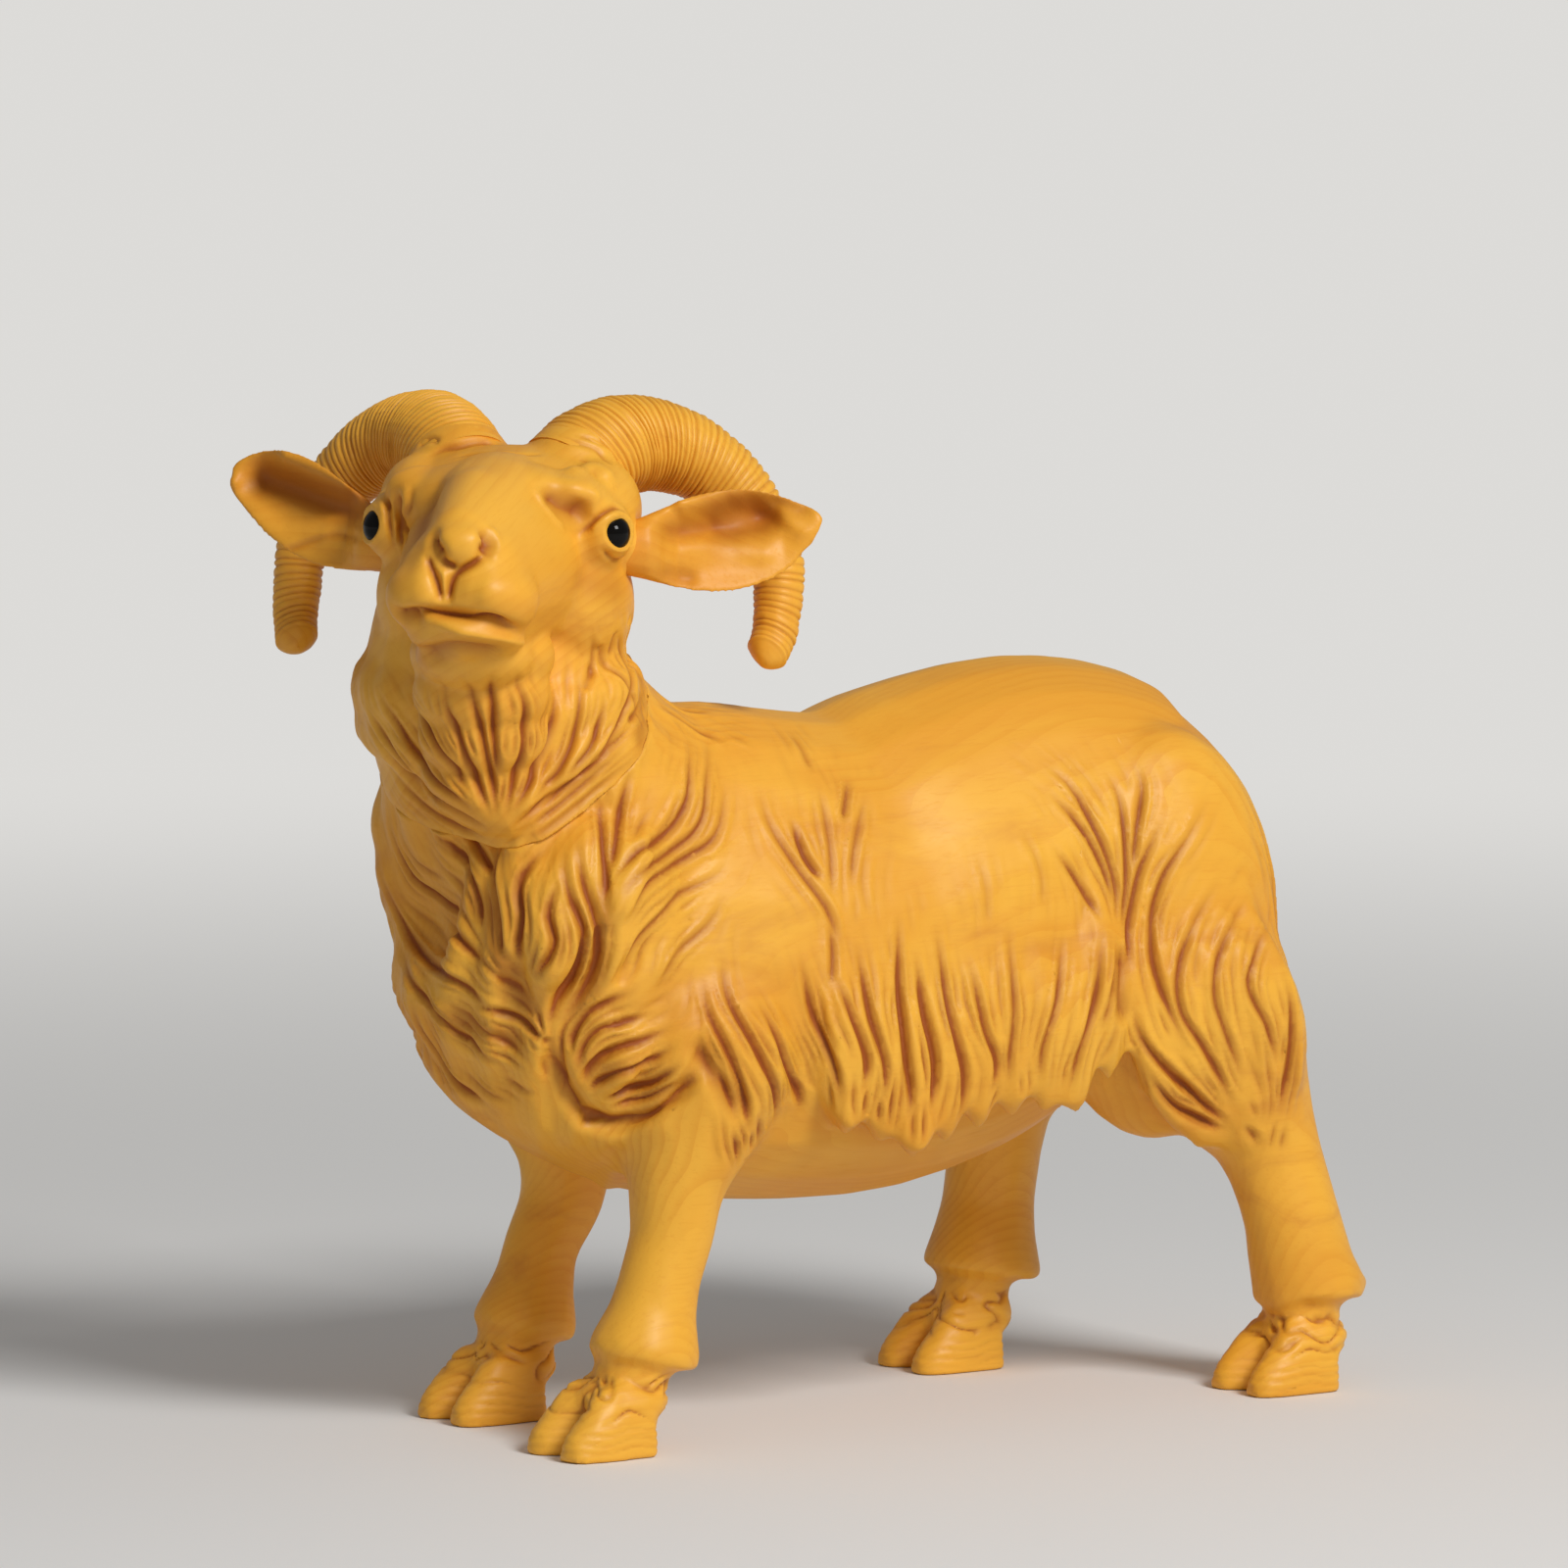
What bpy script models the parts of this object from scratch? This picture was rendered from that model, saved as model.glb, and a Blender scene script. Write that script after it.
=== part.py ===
"""A standing horned goat carved in boxwood, its head, horns and ears pinned on and bead eyes let in.

Metres, +Z up. The goat looks along -Y, its own left is +X and its hooves stand on z = 0.
"""

import math

import bmesh
import bpy
import numpy as np
from mathutils import Matrix, Vector
from mathutils.bvhtree import BVHTree

# Trunk
CHEST_FRONT = 0.0490
RUMP_BACK = 0.0605
CHEST_WIDTH = 0.042
BARREL_WIDTH = 0.047
LOIN_WIDTH = 0.044
WITHERS_HEIGHT = 0.087
DIP_HEIGHT = 0.0845
LOIN_HEIGHT = 0.090
BRISKET_HEIGHT = 0.028
BELLY_HEIGHT = 0.026
GROIN_HEIGHT = 0.034
FRINGE_HEIGHT = 0.035
FRINGE_SPREAD = 0.0225
CHEST_LOCK_WIDTH = 0.0050
TAIL_WIDTH = 0.0090

# Legs and hooves
FRONT_TRACK = 0.030
FRONT_REACH = 0.0384
FRONT_STEP = 0.0016
REAR_TRACK = 0.034
REAR_LEFT_REACH = 0.0560
REAR_RIGHT_REACH = 0.0317
SHANK_RADIUS = 0.0049
CUFF_RADIUS = 0.0068
CUFF_HEIGHT = 0.0103
HOOF_LENGTH = 0.0145
HOOF_WIDTH = 0.0126
HOOF_HEIGHT = 0.0088
HOOF_CLEFT = 0.0012
CORONET_RADIUS = 0.0057

# Head and neck
EYE_HEIGHT = 0.1088
EYE_AHEAD = 0.0487
EYE_ASIDE = 0.0064
HEAD_TURN = math.radians(47.8)
HEAD_LIFT = math.radians(9.2)
HEAD_ROLL = math.radians(0.9)
SKULL_RADIUS = 0.0135
MUZZLE_REACH = 0.0250
NECK_RADIUS = 0.0170
RUFF_LOCK_WIDTH = 0.0050
JOINT_HEIGHT = 0.0846
JOINT_AHEAD = 0.0414
JOINT_ASIDE = -0.0015

# Horns and ears
HORN_ROOT_RADIUS = 0.0063
HORN_TIP_RADIUS = 0.0025
HORN_RIBS = 30
HORN_RIB_DEPTH = 0.0003
EAR_REACH = 0.0192
EAR_WIDTH = 0.0124
EAR_ROOT = 0.0164
EAR_LIFT_LEFT = 0.0030
EAR_LIFT_RIGHT = 0.0078
EAR_THICKNESS = 0.0017
EAR_SEAT_DEPTH = 0.0035
EAR_SIDES = 14
EAR_SEAT_RINGS = 6

# Let-in and pinned joints
GLUE_GAP = 0.0003
NECK_DOWEL_RADIUS = 0.0040
NECK_DOWEL_LENGTH = 0.0240
HORN_PIN_RADIUS = 0.0012
HORN_PIN_LENGTH = 0.0100
EAR_PIN_RADIUS = 0.0008
EAR_PIN_LENGTH = 0.0070
EYE_RADIUS = 0.0023
EYE_SPACING = 0.0272
EYE_LEAD = 0.0005

# Fineness of the carved surface
BODY_VOXEL = 0.0009
HEAD_VOXEL = 0.0006
BODY_SHARE = 0.085
HEAD_SHARE = 0.048

MM = 0.001


def smooth_run(stations, steps):
    """A smooth run through the stations, with the given steps from each to the next."""
    marks = np.array(stations, dtype=float)
    marks = np.vstack((2 * marks[0] - marks[1], marks, 2 * marks[-1] - marks[-2]))
    run = []
    for before, start, end, after in zip(marks, marks[1:], marks[2:], marks[3:]):
        for step in range(steps):
            t = step / steps
            run.append(0.5 * (2 * start + (end - before) * t
                              + (2 * before - 5 * start + 4 * end - after) * t ** 2
                              + (3 * start - before - 3 * end + after) * t ** 3))
    run.append(marks[-2])
    return run


def skin(mesh, rings):
    """A closed skin over rings of points, with a flat cap at each end."""
    loops = [[mesh.verts.new(point) for point in ring] for ring in rings]
    for low, high in zip(loops, loops[1:]):
        for side in range(len(low)):
            after = (side + 1) % len(low)
            mesh.faces.new((low[side], low[after], high[after], high[side]))
    mesh.faces.new(loops[0][::-1])
    mesh.faces.new(loops[-1])


def sweep(mesh, stations, out, steps=3, sides=14, pinch=0.0, grow=0.0):
    """A round-sectioned bar through stations of x, y, z, half-width and half-depth.

    out is the way that the depth points, or, given as a function, tells it at each place.
    """
    run = smooth_run(stations, steps)
    places = [Vector(mark[:3]) for mark in run]
    places[0] -= (places[1] - places[0]).normalized() * grow
    rings = []
    for index, mark in enumerate(run):
        along = places[min(index + 1, len(run) - 1)] - places[max(index - 1, 0)]
        depth = out(places[index]) if callable(out) else Vector(out)
        across = along.cross(depth).normalized()
        depth = across.cross(along).normalized()
        ring = []
        for side in range(sides):
            turn = 2 * math.pi * side / sides
            width = (mark[3] + grow) * (1 - pinch * math.sin(turn))
            ring.append(places[index] + across * width * math.cos(turn)
                        + depth * (mark[4] + grow) * math.sin(turn))
        rings.append(ring)
    skin(mesh, rings)


def ball(mesh, centre, radii, frame=None):
    """A muscle or bone mass: an ellipsoid at a centre, lying along the frame's axes."""
    turn = (frame or Matrix.Identity(3)).to_4x4()
    placed = Matrix.Translation(centre) @ turn @ Matrix.Diagonal((*radii, 1))
    bmesh.ops.create_icosphere(mesh, subdivisions=3, radius=1, matrix=placed)


def lock(mesh, points, out, width, depth):
    """A lock of hair through the points, full near its root and drawn to a tip."""
    fullness = np.interp(np.linspace(0, 1, len(points)), (0, 0.35, 0.75, 1), (0.35, 1, 0.75, 0.12))
    stations = [(*point, width * full, depth * full) for point, full in zip(points, fullness)]
    sweep(mesh, stations, out, sides=8)


# The body: trunk, neck stump and four legs

HEAD_FRAME = (Matrix.Rotation(HEAD_TURN, 3, "Z") @ Matrix.Rotation(-HEAD_LIFT, 3, "X")
              @ Matrix.Rotation(HEAD_ROLL, 3, "Y"))
HEAD_CENTRE = Vector((EYE_ASIDE, -EYE_AHEAD, EYE_HEIGHT))
JOINT_CENTRE = Vector((JOINT_ASIDE, -JOINT_AHEAD, JOINT_HEIGHT))
JOINT_AXIS = Vector((0.311, -0.532, 0.788)).normalized()

# Along the trunk: place, top, bottom, width
TRUNK = (
    (-CHEST_FRONT - 0.0005, 0.0740, 0.0620, 0.30 * CHEST_WIDTH),
    (-CHEST_FRONT + 0.0015, 0.0800, 0.0570, 0.52 * CHEST_WIDTH),
    (-CHEST_FRONT + 0.0070, 0.0830, BRISKET_HEIGHT + 0.0170, 0.80 * CHEST_WIDTH),
    (-CHEST_FRONT + 0.0160, WITHERS_HEIGHT - 0.001, BRISKET_HEIGHT + 0.0050, 0.97 * CHEST_WIDTH),
    (-0.0220, WITHERS_HEIGHT, BRISKET_HEIGHT, 0.5 * (CHEST_WIDTH + BARREL_WIDTH)),
    (-0.0080, DIP_HEIGHT + 0.0005, BELLY_HEIGHT, BARREL_WIDTH),
    (0.0040, DIP_HEIGHT, BELLY_HEIGHT, BARREL_WIDTH),
    (0.0150, DIP_HEIGHT + 0.0035, BELLY_HEIGHT + 0.0030, BARREL_WIDTH),
    (0.0260, LOIN_HEIGHT, BELLY_HEIGHT + 0.0080, LOIN_WIDTH),
    (0.0350, LOIN_HEIGHT - 0.0010, GROIN_HEIGHT + 0.0020, LOIN_WIDTH),
    (RUMP_BACK - 0.0165, LOIN_HEIGHT - 0.0050, GROIN_HEIGHT + 0.0020, 0.95 * LOIN_WIDTH),
    (RUMP_BACK - 0.0080, LOIN_HEIGHT - 0.0105, GROIN_HEIGHT + 0.0060, 0.78 * LOIN_WIDTH),
    (RUMP_BACK - 0.0015, LOIN_HEIGHT - 0.0200, GROIN_HEIGHT + 0.0140, 0.45 * LOIN_WIDTH),
    (RUMP_BACK, LOIN_HEIGHT - 0.0240, GROIN_HEIGHT + 0.0180, 0.15 * LOIN_WIDTH),
)


def add_trunk(mesh):
    stations = [(0, along, (top + bottom) / 2, width / 2, (top - bottom) / 2)
                for along, top, bottom, width in TRUNK]
    sweep(mesh, stations, (0, 0, 1), sides=24, pinch=0.10)
    for side, height, tall in ((-1, 0.0705, 0.0150), (1, 0.0660, 0.0120)):
        ball(mesh, (side * 0.24 * CHEST_WIDTH, -CHEST_FRONT + 0.0090, height), (0.0120, 0.0135, tall))


def add_neck(mesh):
    """The neck from between the shoulders up into the skull; the glue joint cuts it later."""
    skull = HEAD_CENTRE + HEAD_FRAME @ Vector((0, 0.011, -0.004))
    throat = JOINT_CENTRE.lerp(skull, 0.5) + Vector((0, -0.002, 0))
    stations = (
        (0, -0.024, 0.062, 0.0190, 0.0220),
        (-0.0008, -0.0350, 0.074, 1.10 * NECK_RADIUS, 1.10 * NECK_RADIUS),
        (*JOINT_CENTRE, NECK_RADIUS, NECK_RADIUS),
        (*throat, 0.94 * NECK_RADIUS, 0.92 * NECK_RADIUS),
        (*skull, 0.80 * NECK_RADIUS, 0.80 * NECK_RADIUS),
    )
    sweep(mesh, stations, (0, -1, 0.2), sides=20)


def add_hoof(mesh, foot):
    """Two blunt claws under the swollen coronet; the sole is cut flat later."""
    outline = ((0.33, 0.62, 0.80), (0.28, 0.90, 1.00), (0.10, 1.00, 1.06), (-0.12, 0.98, 1.06),
               (-0.25, 0.80, 1.02), (-0.38, 0.53, 0.92), (-0.48, 0.37, 0.70), (-0.525, 0.20, 0.40))
    claw_width = (HOOF_WIDTH - HOOF_CLEFT) / 4
    for side in (-1, 1):
        centre = foot.x + side * (claw_width + HOOF_CLEFT / 2)
        stations = [(centre + side * max(-along, 0) * 0.0008, foot.y + along * HOOF_LENGTH, 0,
                     claw_width * wide, HOOF_HEIGHT * high) for along, high, wide in outline]
        sweep(mesh, stations, (0, 0, 1), sides=16)
    ball(mesh, foot + Vector((0, 0.0030, 0.0062)),
         (1.03 * CORONET_RADIUS, 0.98 * CORONET_RADIUS, 0.54 * CORONET_RADIUS))


def add_leg(mesh, upper, ankle, foot, lean, tilt, girth, slim):
    """A leg from its upper stations down to the bell of hair whose edge hangs over the hoof.

    Lean and tilt are the slopes of the shank and of the bell's edge, and slim is how narrow the
    shank is against the bell.
    """
    stations = list(upper)
    for height, slope, share in ((0.0105, lean, slim), (0.0062, lean, slim + 0.05), (0.0028, lean, 0.92),
                                 (0.0009, tilt, 0.99), (0.0, tilt, 0.97)):
        radius = share * girth * CUFF_RADIUS
        place = ankle + Vector((0, slope, 1)) * height
        stations.append((*place, 0.95 * radius, 1.04 * radius))
    sweep(mesh, stations, (0, -1, 0), sides=16)
    pastern = 0.80 * CORONET_RADIUS
    stations = ((*ankle + Vector((0, 0, 0.0040)), pastern, pastern),
                (*ankle.lerp(foot, 0.5) + Vector((0, 0.0006, 0.0012)), pastern, pastern))
    sweep(mesh, stations, (0, -1, 0), sides=14)
    add_hoof(mesh, foot)


def add_legs(mesh):
    for side in (-1, 1):
        track = side * FRONT_TRACK / 2
        foot = Vector((track, -FRONT_REACH - side * FRONT_STEP, 0))
        ankle = foot + Vector((0, 0.0052 + side * 0.0006, CUFF_HEIGHT + side * 0.0002))
        upper = (
            (0.9 * track, -FRONT_REACH + 0.0140, 0.0600, 0.0060, 0.0100),
            (track + side * 0.0015, -FRONT_REACH + 0.0130, 0.0480, 0.0085, 0.0120),
            (track + side * 0.0008, -FRONT_REACH + 0.0112, 0.0390, 0.0070, 0.0088),
            (track, foot.y + 0.0107, 0.0315, 0.0056, 0.0062),
            (track, foot.y + 0.0100, 0.0255, SHANK_RADIUS, 1.06 * SHANK_RADIUS),
        )
        add_leg(mesh, upper, ankle, foot, 0.26, 0.26, 0.97 + side * 0.03, 0.71)
    for side, reach, hock_shift, ankle_shift, lean, tilt in (
            (1, REAR_LEFT_REACH, -0.0018, 0.0036, -0.26, 0.0),
            (-1, REAR_RIGHT_REACH, 0.0062, 0.0047, 0.13, 0.17)):
        track = side * REAR_TRACK / 2
        foot = Vector((track + side * 0.0015, reach, 0))
        ankle = foot + Vector((0, ankle_shift, CUFF_HEIGHT + 0.0010))
        hock = reach + hock_shift
        hip = 0.0410 + 0.30 * (hock - 0.0430)
        upper = (
            (0.82 * track, hip, 0.0540, 0.0100, 0.0120),
            (0.95 * track, 0.5 * (hip + hock) - 0.0006, 0.0410, 0.0090, 0.0115),
            (track, hock, 0.0310, 1.22 * SHANK_RADIUS, 1.40 * SHANK_RADIUS),
        )
        add_leg(mesh, upper, ankle, foot, lean, tilt, 1.07 - side * 0.04, 0.80 + side * 0.04)
        if side > 0:
            ball(mesh, ankle + Vector((0, 0.94 * CUFF_RADIUS, 0.0010)), (0.0030, 0.0022, 0.0012))
        ball(mesh, (0.80 * track, 0.0405, 0.0565), (0.0102, 0.0165, 0.0255))


def lay(tree, start, aim, lift=0.0):
    """The place where the way from start to aim meets the skin, lifted off it by a little."""
    way = (aim - start).normalized()
    met = tree.ray_cast(start, way)[0] or aim
    return met - way * lift


def add_coat(mesh):
    """The coat's main forms: chest locks, belly fringe, haunch locks and tail."""
    tree = BVHTree.FromBMesh(mesh)
    # Rows of chest locks, laid like shingles and drawn in towards the breast
    for row in range(4):
        height = 0.0800 - 0.0100 * row
        for index in range(11):
            turn = math.radians(-88 + 16 * index + 8 * (row % 2))
            points = []
            for share, lift in ((0.0, -0.0014), (0.3, 0.0002), (0.65, 0.0006), (1.0, -0.0002)):
                angle = turn * (1 - 0.42 * share ** 1.6)
                out = Vector((math.sin(angle), -math.cos(angle), 0))
                heart = Vector((0, -0.0300, height - 0.0050 * math.sin(turn) - 0.0170 * share))
                points.append(lay(tree, heart + out * 0.06, heart, lift))
            lock(mesh, points, out, CHEST_LOCK_WIDTH / 2, 0.0012)
    for side in (-1, 1):
        # Lobes of the fringe, from behind the front leg to the flank
        for index, hem in enumerate((0.6, -0.5, -2.6, -1.5, 0.0, 1.0, 1.4, 0.8, 4.5)):
            along = -0.0110 + 0.0047 * index
            drop = FRINGE_HEIGHT + hem * MM
            root = Vector((side * 0.06, along - 0.0012, drop + 0.0260))
            points = [lay(tree, root, root - Vector((side * 0.06, 0, 0)), -0.0014),
                      Vector((side * (FRINGE_SPREAD + 0.0006), along - 0.0006, drop + 0.0140)),
                      Vector((side * FRINGE_SPREAD, along + 0.0004, drop + 0.0050)),
                      Vector((side * (FRINGE_SPREAD - 0.0012), along + 0.0016, drop))]
            lock(mesh, points, (side, 0, 0), 0.0032, 0.0026)
        # Locks of the haunch, gathered towards the hock
        for index in range(5):
            along = 0.0325 + 0.0046 * index
            root = Vector((side * 0.06, along - 0.0060, 0.0640))
            middle = Vector((side * 0.06, along - 0.0004, 0.0500))
            inwards = Vector((side * 0.06, 0, 0))
            points = [lay(tree, root, root - inwards, -0.0014), lay(tree, middle, middle - inwards, 0.0006),
                      Vector((side * 0.0228, along + 0.0024, 0.0390)),
                      Vector((side * 0.0195, 0.0470 + 0.45 * (along - 0.0410), 0.0295))]
            lock(mesh, points, (side, 0, 0), 0.0031, 0.0024)
    points = [Vector((0, RUMP_BACK - 0.0075, 0.0730)), Vector((0, RUMP_BACK - 0.0005, 0.0680)),
              Vector((0, RUMP_BACK + 0.0022, 0.0590)), Vector((0, RUMP_BACK + 0.0010, 0.0480))]
    lock(mesh, points, (0, 1, 0), TAIL_WIDTH / 2, 0.0030)


# The head: skull, muzzle, brows, cheeks, jaw and the ruff under it

def face(left, ahead, up):
    """A place on the head, in millimetres from the point midway between the eyes."""
    return HEAD_CENTRE + HEAD_FRAME @ (Vector((left, -ahead, up)) * MM)


def add_skull(mesh):
    ball(mesh, face(0, -10, 0), (SKULL_RADIUS, 1.12 * SKULL_RADIUS, 0.80 * SKULL_RADIUS),
         HEAD_FRAME)
    reach = MUZZLE_REACH / MM
    stations = [(*face(0, ahead, up), wide * MM, high * MM) for ahead, up, wide, high in (
        (-8, -3.5, 12.6, 11.5), (2, -4.2, 11.0, 10.6), (10, -5.5, 9.6, 10.3),
        (0.68 * reach, -7.2, 8.4, 8.9), (0.88 * reach, -7.8, 7.2, 7.6), (reach, -7.8, 4.8, 5.0))]
    sweep(mesh, stations, HEAD_FRAME @ Vector((0, 0, 1)), sides=18, pinch=0.08)
    stations = [(*face(0, ahead, up), wide * MM, high * MM) for ahead, up, wide, high in (
        (-6, 6.6, 6.0, 3.6), (5, 4.6, 5.8, 3.8), (14, 1.2, 5.0, 3.6), (0.9 * reach, -3.0, 4.0, 3.2))]
    sweep(mesh, stations, HEAD_FRAME @ Vector((0, 0, 1)), sides=12)
    ball(mesh, face(0, reach - 1.5, -3.6), (0.0042, 0.0032, 0.0028), HEAD_FRAME)
    ball(mesh, face(0, 17.5, -14.0), (0.0066, 0.0066, 0.0026), HEAD_FRAME)
    ball(mesh, face(0, 10, -15.5), (0.0072, 0.0085, 0.0042), HEAD_FRAME)
    for side in (-1, 1):
        ball(mesh, face(side * 8.4, 0.5, 4.2), (0.0048, 0.0058, 0.0028), HEAD_FRAME)
        ball(mesh, face(side * (EYE_SPACING / 2 / MM - 1.0), -0.6, 0.2), (0.0036, 0.0044, 0.0040), HEAD_FRAME)
        ball(mesh, face(side * 10.4, -8, 3.4), (0.0052, 0.0085, 0.0062), HEAD_FRAME)
        ball(mesh, face(side * 9.2, -7, -7.5), (0.0060, 0.0105, 0.0082), HEAD_FRAME)
        ball(mesh, face(side * 4.3, reach - 5.2, -9.3), (0.0048, 0.0058, 0.0044), HEAD_FRAME)
        ball(mesh, face(side * 6.0, -14, 7.5), (0.0070, 0.0060, 0.0048), HEAD_FRAME)


def add_ruff(mesh):
    """Two rows of locks that fan from the jaw over the throat, drawn in to the front tip."""
    tree = BVHTree.FromBMesh(mesh)
    for row, count in ((0, 13), (1, 12)):
        for index in range(count):
            spread = 2 * index / (count - 1) - 1
            points = []
            for share, lift in ((0.0, -0.0014), (0.3, 0.0003), (0.7, 0.0008), (1.0, -0.0002)):
                angle = 2.1 * spread * (1 - 0.34 * share ** 1.5)
                out = HEAD_FRAME @ Vector((math.sin(angle), -math.cos(angle), 0))
                start = 18.5 - 6.5 * abs(spread) + 4.5 * row
                heart = face(0, -9, -start - (12.0 - 2.5 * abs(spread)) * share)
                points.append(lay(tree, heart + out * 0.06, heart, lift))
            lock(mesh, points, out, RUFF_LOCK_WIDTH / 2, 0.0013)


def horn_stations(side):
    """The horn's curl as places and half-axes, from its seat in the skull to its tip."""
    path = ((6.6, -10.6, 7.8), (8.8, -13.4, 10.4), (12.2, -18.0, 12.1), (16.8, -22.0, 11.9),
            (21.9, -25.0, 9.2), (26.3, -27.0, 4.4), (28.8, -27.5, -1.1), (29.1, -27.0, -6.8),
            (28.8, -25.8, -10.6), (28.0, -23.8, -13.0))
    stations = []
    for index, (left, ahead, up) in enumerate(path):
        share = index / (len(path) - 1)
        fullness = np.interp(share, (0, 0.2, 0.45, 0.65, 1), (1, 0.93, 0.57, 0.26, 0))
        radius = HORN_TIP_RADIUS + (HORN_ROOT_RADIUS - HORN_TIP_RADIUS) * fullness
        place = face(side * left, ahead, up)
        stations.append((*place, 0.92 * radius, radius))
    return stations


def add_horn(mesh, side, grow=0.0):
    """A curled horn with its growth ribs, or, grown by a gap, the smooth socket for its root."""
    hub = face(side * 15, -22, -3)
    stations = horn_stations(side)
    if grow:
        sweep(mesh, stations[:4], lambda place: place - hub, steps=4, sides=20, grow=grow)
        return
    run = smooth_run(stations, 16)
    lengths = [0.0]
    for start, end in zip(run, run[1:]):
        lengths.append(lengths[-1] + float(np.linalg.norm(end[:3] - start[:3])))
    ribbed = []
    for rib in range(2 * HORN_RIBS + 1):
        share = rib / (2 * HORN_RIBS)
        mark = np.array([np.interp(share * lengths[-1], lengths, row) for row in zip(*run)])
        if rib % 2 and 0.08 < share:
            mark[3:] -= HORN_RIB_DEPTH
        if share > 0.96:
            mark[3:] *= 1 - 9 * (share - 0.96)
        ribbed.append(mark)
    sweep(mesh, ribbed, lambda place: place - hub, steps=1, sides=10)


def ear_leaf(side):
    """The ear from its seat outwards: places in the head's frame, half-widths and cup depths."""
    reach = EAR_REACH / MM
    half = EAR_WIDTH / MM / 2
    lift = EAR_LIFT_LEFT if side > 0 else EAR_LIFT_RIGHT
    outline = ((-EAR_SEAT_DEPTH / EAR_REACH, -6.4, 0.44, 0.0), (0.0, -7.4, 0.62, 0.2),
               (0.10, -8.3, 0.74, 0.8), (0.30, -10.0, 0.95, 1.9), (0.52, -12.2, 1.0, 2.3),
               (0.72, -14.2, 0.86, 1.9), (0.88, -15.8, 0.56, 1.1), (0.97, -16.7, 0.26, 0.5))
    return [(side * (EAR_ROOT / MM + share * reach), ahead, -0.9 + share * lift / MM, half * wide, cup)
            for share, ahead, wide, cup in outline]


def add_ear(mesh, side, grow=0.0):
    """A cupped leaf on a short round stem, opening forwards, or, grown by a gap, its socket."""
    thick = EAR_THICKNESS / MM / 2
    gap = grow / MM
    run = smooth_run(ear_leaf(side), 2)
    rings = []
    for index, (left, ahead, up, wide, cup) in enumerate(run):
        ends = run[max(index - 1, 0)], run[min(index + 1, len(run) - 1)]
        along = Vector((ends[1][0] - ends[0][0], ends[0][1] - ends[1][1], 0)).normalized()
        lean = along.cross(Vector((0, 0, side)))
        roundness = min(1.0, max(0.0, 1 - cup / 1.2))
        body = thick + (wide - thick) * roundness * 0.9 + gap
        centre = Vector((left, -ahead, up)) - (along * gap if index == 0 else Vector())
        ring = []
        for corner in range(EAR_SIDES):
            turn = 2 * math.pi * corner / EAR_SIDES
            place = centre + Vector((0, 0, (wide + gap) * math.cos(turn)))
            place += lean * (body * math.sin(turn) - cup * math.sin(turn) ** 2)
            ring.append(HEAD_CENTRE + HEAD_FRAME @ (place * MM))
        rings.append(ring)
    skin(mesh, rings[:EAR_SEAT_RINGS] if grow else rings)


# Objects, their materials and the cuts between them

def make_object(name, mesh, colour, roughness, alpha=1.0):
    """A named object from a mesh in the making, with its own material."""
    bmesh.ops.recalc_face_normals(mesh, faces=mesh.faces)
    data = bpy.data.meshes.new(name)
    mesh.to_mesh(data)
    mesh.free()
    for polygon in data.polygons:
        polygon.use_smooth = True
    material = bpy.data.materials.new(name + "_material")
    material.use_nodes = True
    shader = material.node_tree.nodes["Principled BSDF"]
    shader.inputs["Base Color"].default_value = (*colour, 1)
    shader.inputs["Roughness"].default_value = roughness
    shader.inputs["Metallic"].default_value = 0
    data.materials.append(material)
    item = bpy.data.objects.new(name, data)
    bpy.context.scene.collection.objects.link(item)
    item.parent = stand
    return item


def make_cutter(name, build):
    """A hidden solid that only cuts others."""
    mesh = bmesh.new()
    build(mesh)
    cutter = make_object(name, mesh, (0.5, 0.5, 0.5), 0.5)
    cutter.hide_render = True
    cutter.display_type = "WIRE"
    return cutter


def cut(item, cutter):
    modifier = item.modifiers.new("Cut " + cutter.name, "BOOLEAN")
    modifier.operation = "DIFFERENCE"
    modifier.solver = "EXACT"
    modifier.use_self = True
    modifier.object = cutter


def carve(item, voxel, share, passes):
    """Melts the masses into one skin, eases it as a carver would and thins out its faces."""
    remesh = item.modifiers.new("One skin", "REMESH")
    remesh.mode = "VOXEL"
    remesh.voxel_size = voxel
    ease = item.modifiers.new("Eased", "SMOOTH")
    ease.factor = 0.5
    ease.iterations = passes
    thin = item.modifiers.new("Thinned", "DECIMATE")
    thin.ratio = share


def add_bar(mesh, centre, axis, radius, length, sides=20):
    """A round bar about its centre, lying along the axis."""
    turn = axis.to_track_quat("Z", "Y").to_matrix().to_4x4()
    bmesh.ops.create_cone(mesh, cap_ends=True, segments=sides, radius1=radius, radius2=radius,
                          depth=length, matrix=Matrix.Translation(centre) @ turn)


def add_box(mesh, centre, axis, size):
    turn = axis.to_track_quat("Z", "Y").to_matrix().to_4x4()
    placed = Matrix.Translation(centre) @ turn @ Matrix.Diagonal((*size, 1))
    bmesh.ops.create_cube(mesh, size=1, matrix=placed)


for leftover in list(bpy.data.objects):
    bpy.data.objects.remove(leftover)

stand = bpy.data.objects.new("stand", None)
bpy.context.scene.collection.objects.link(stand)

BOXWOOD = (0.80, 0.46, 0.11)
HORNWOOD = (0.80, 0.48, 0.13)
PINWOOD = (0.62, 0.42, 0.20)
BLACK_GLASS = (0.004, 0.004, 0.004)

draft = bmesh.new()
add_trunk(draft)
add_neck(draft)
add_legs(draft)
add_coat(draft)
body = make_object("body", draft, BOXWOOD, 0.42)
carve(body, BODY_VOXEL, BODY_SHARE, 3)

draft = bmesh.new()
add_neck(draft)
add_skull(draft)
add_ruff(draft)
head = make_object("head", draft, BOXWOOD, 0.42)
carve(head, HEAD_VOXEL, HEAD_SHARE, 3)

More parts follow.
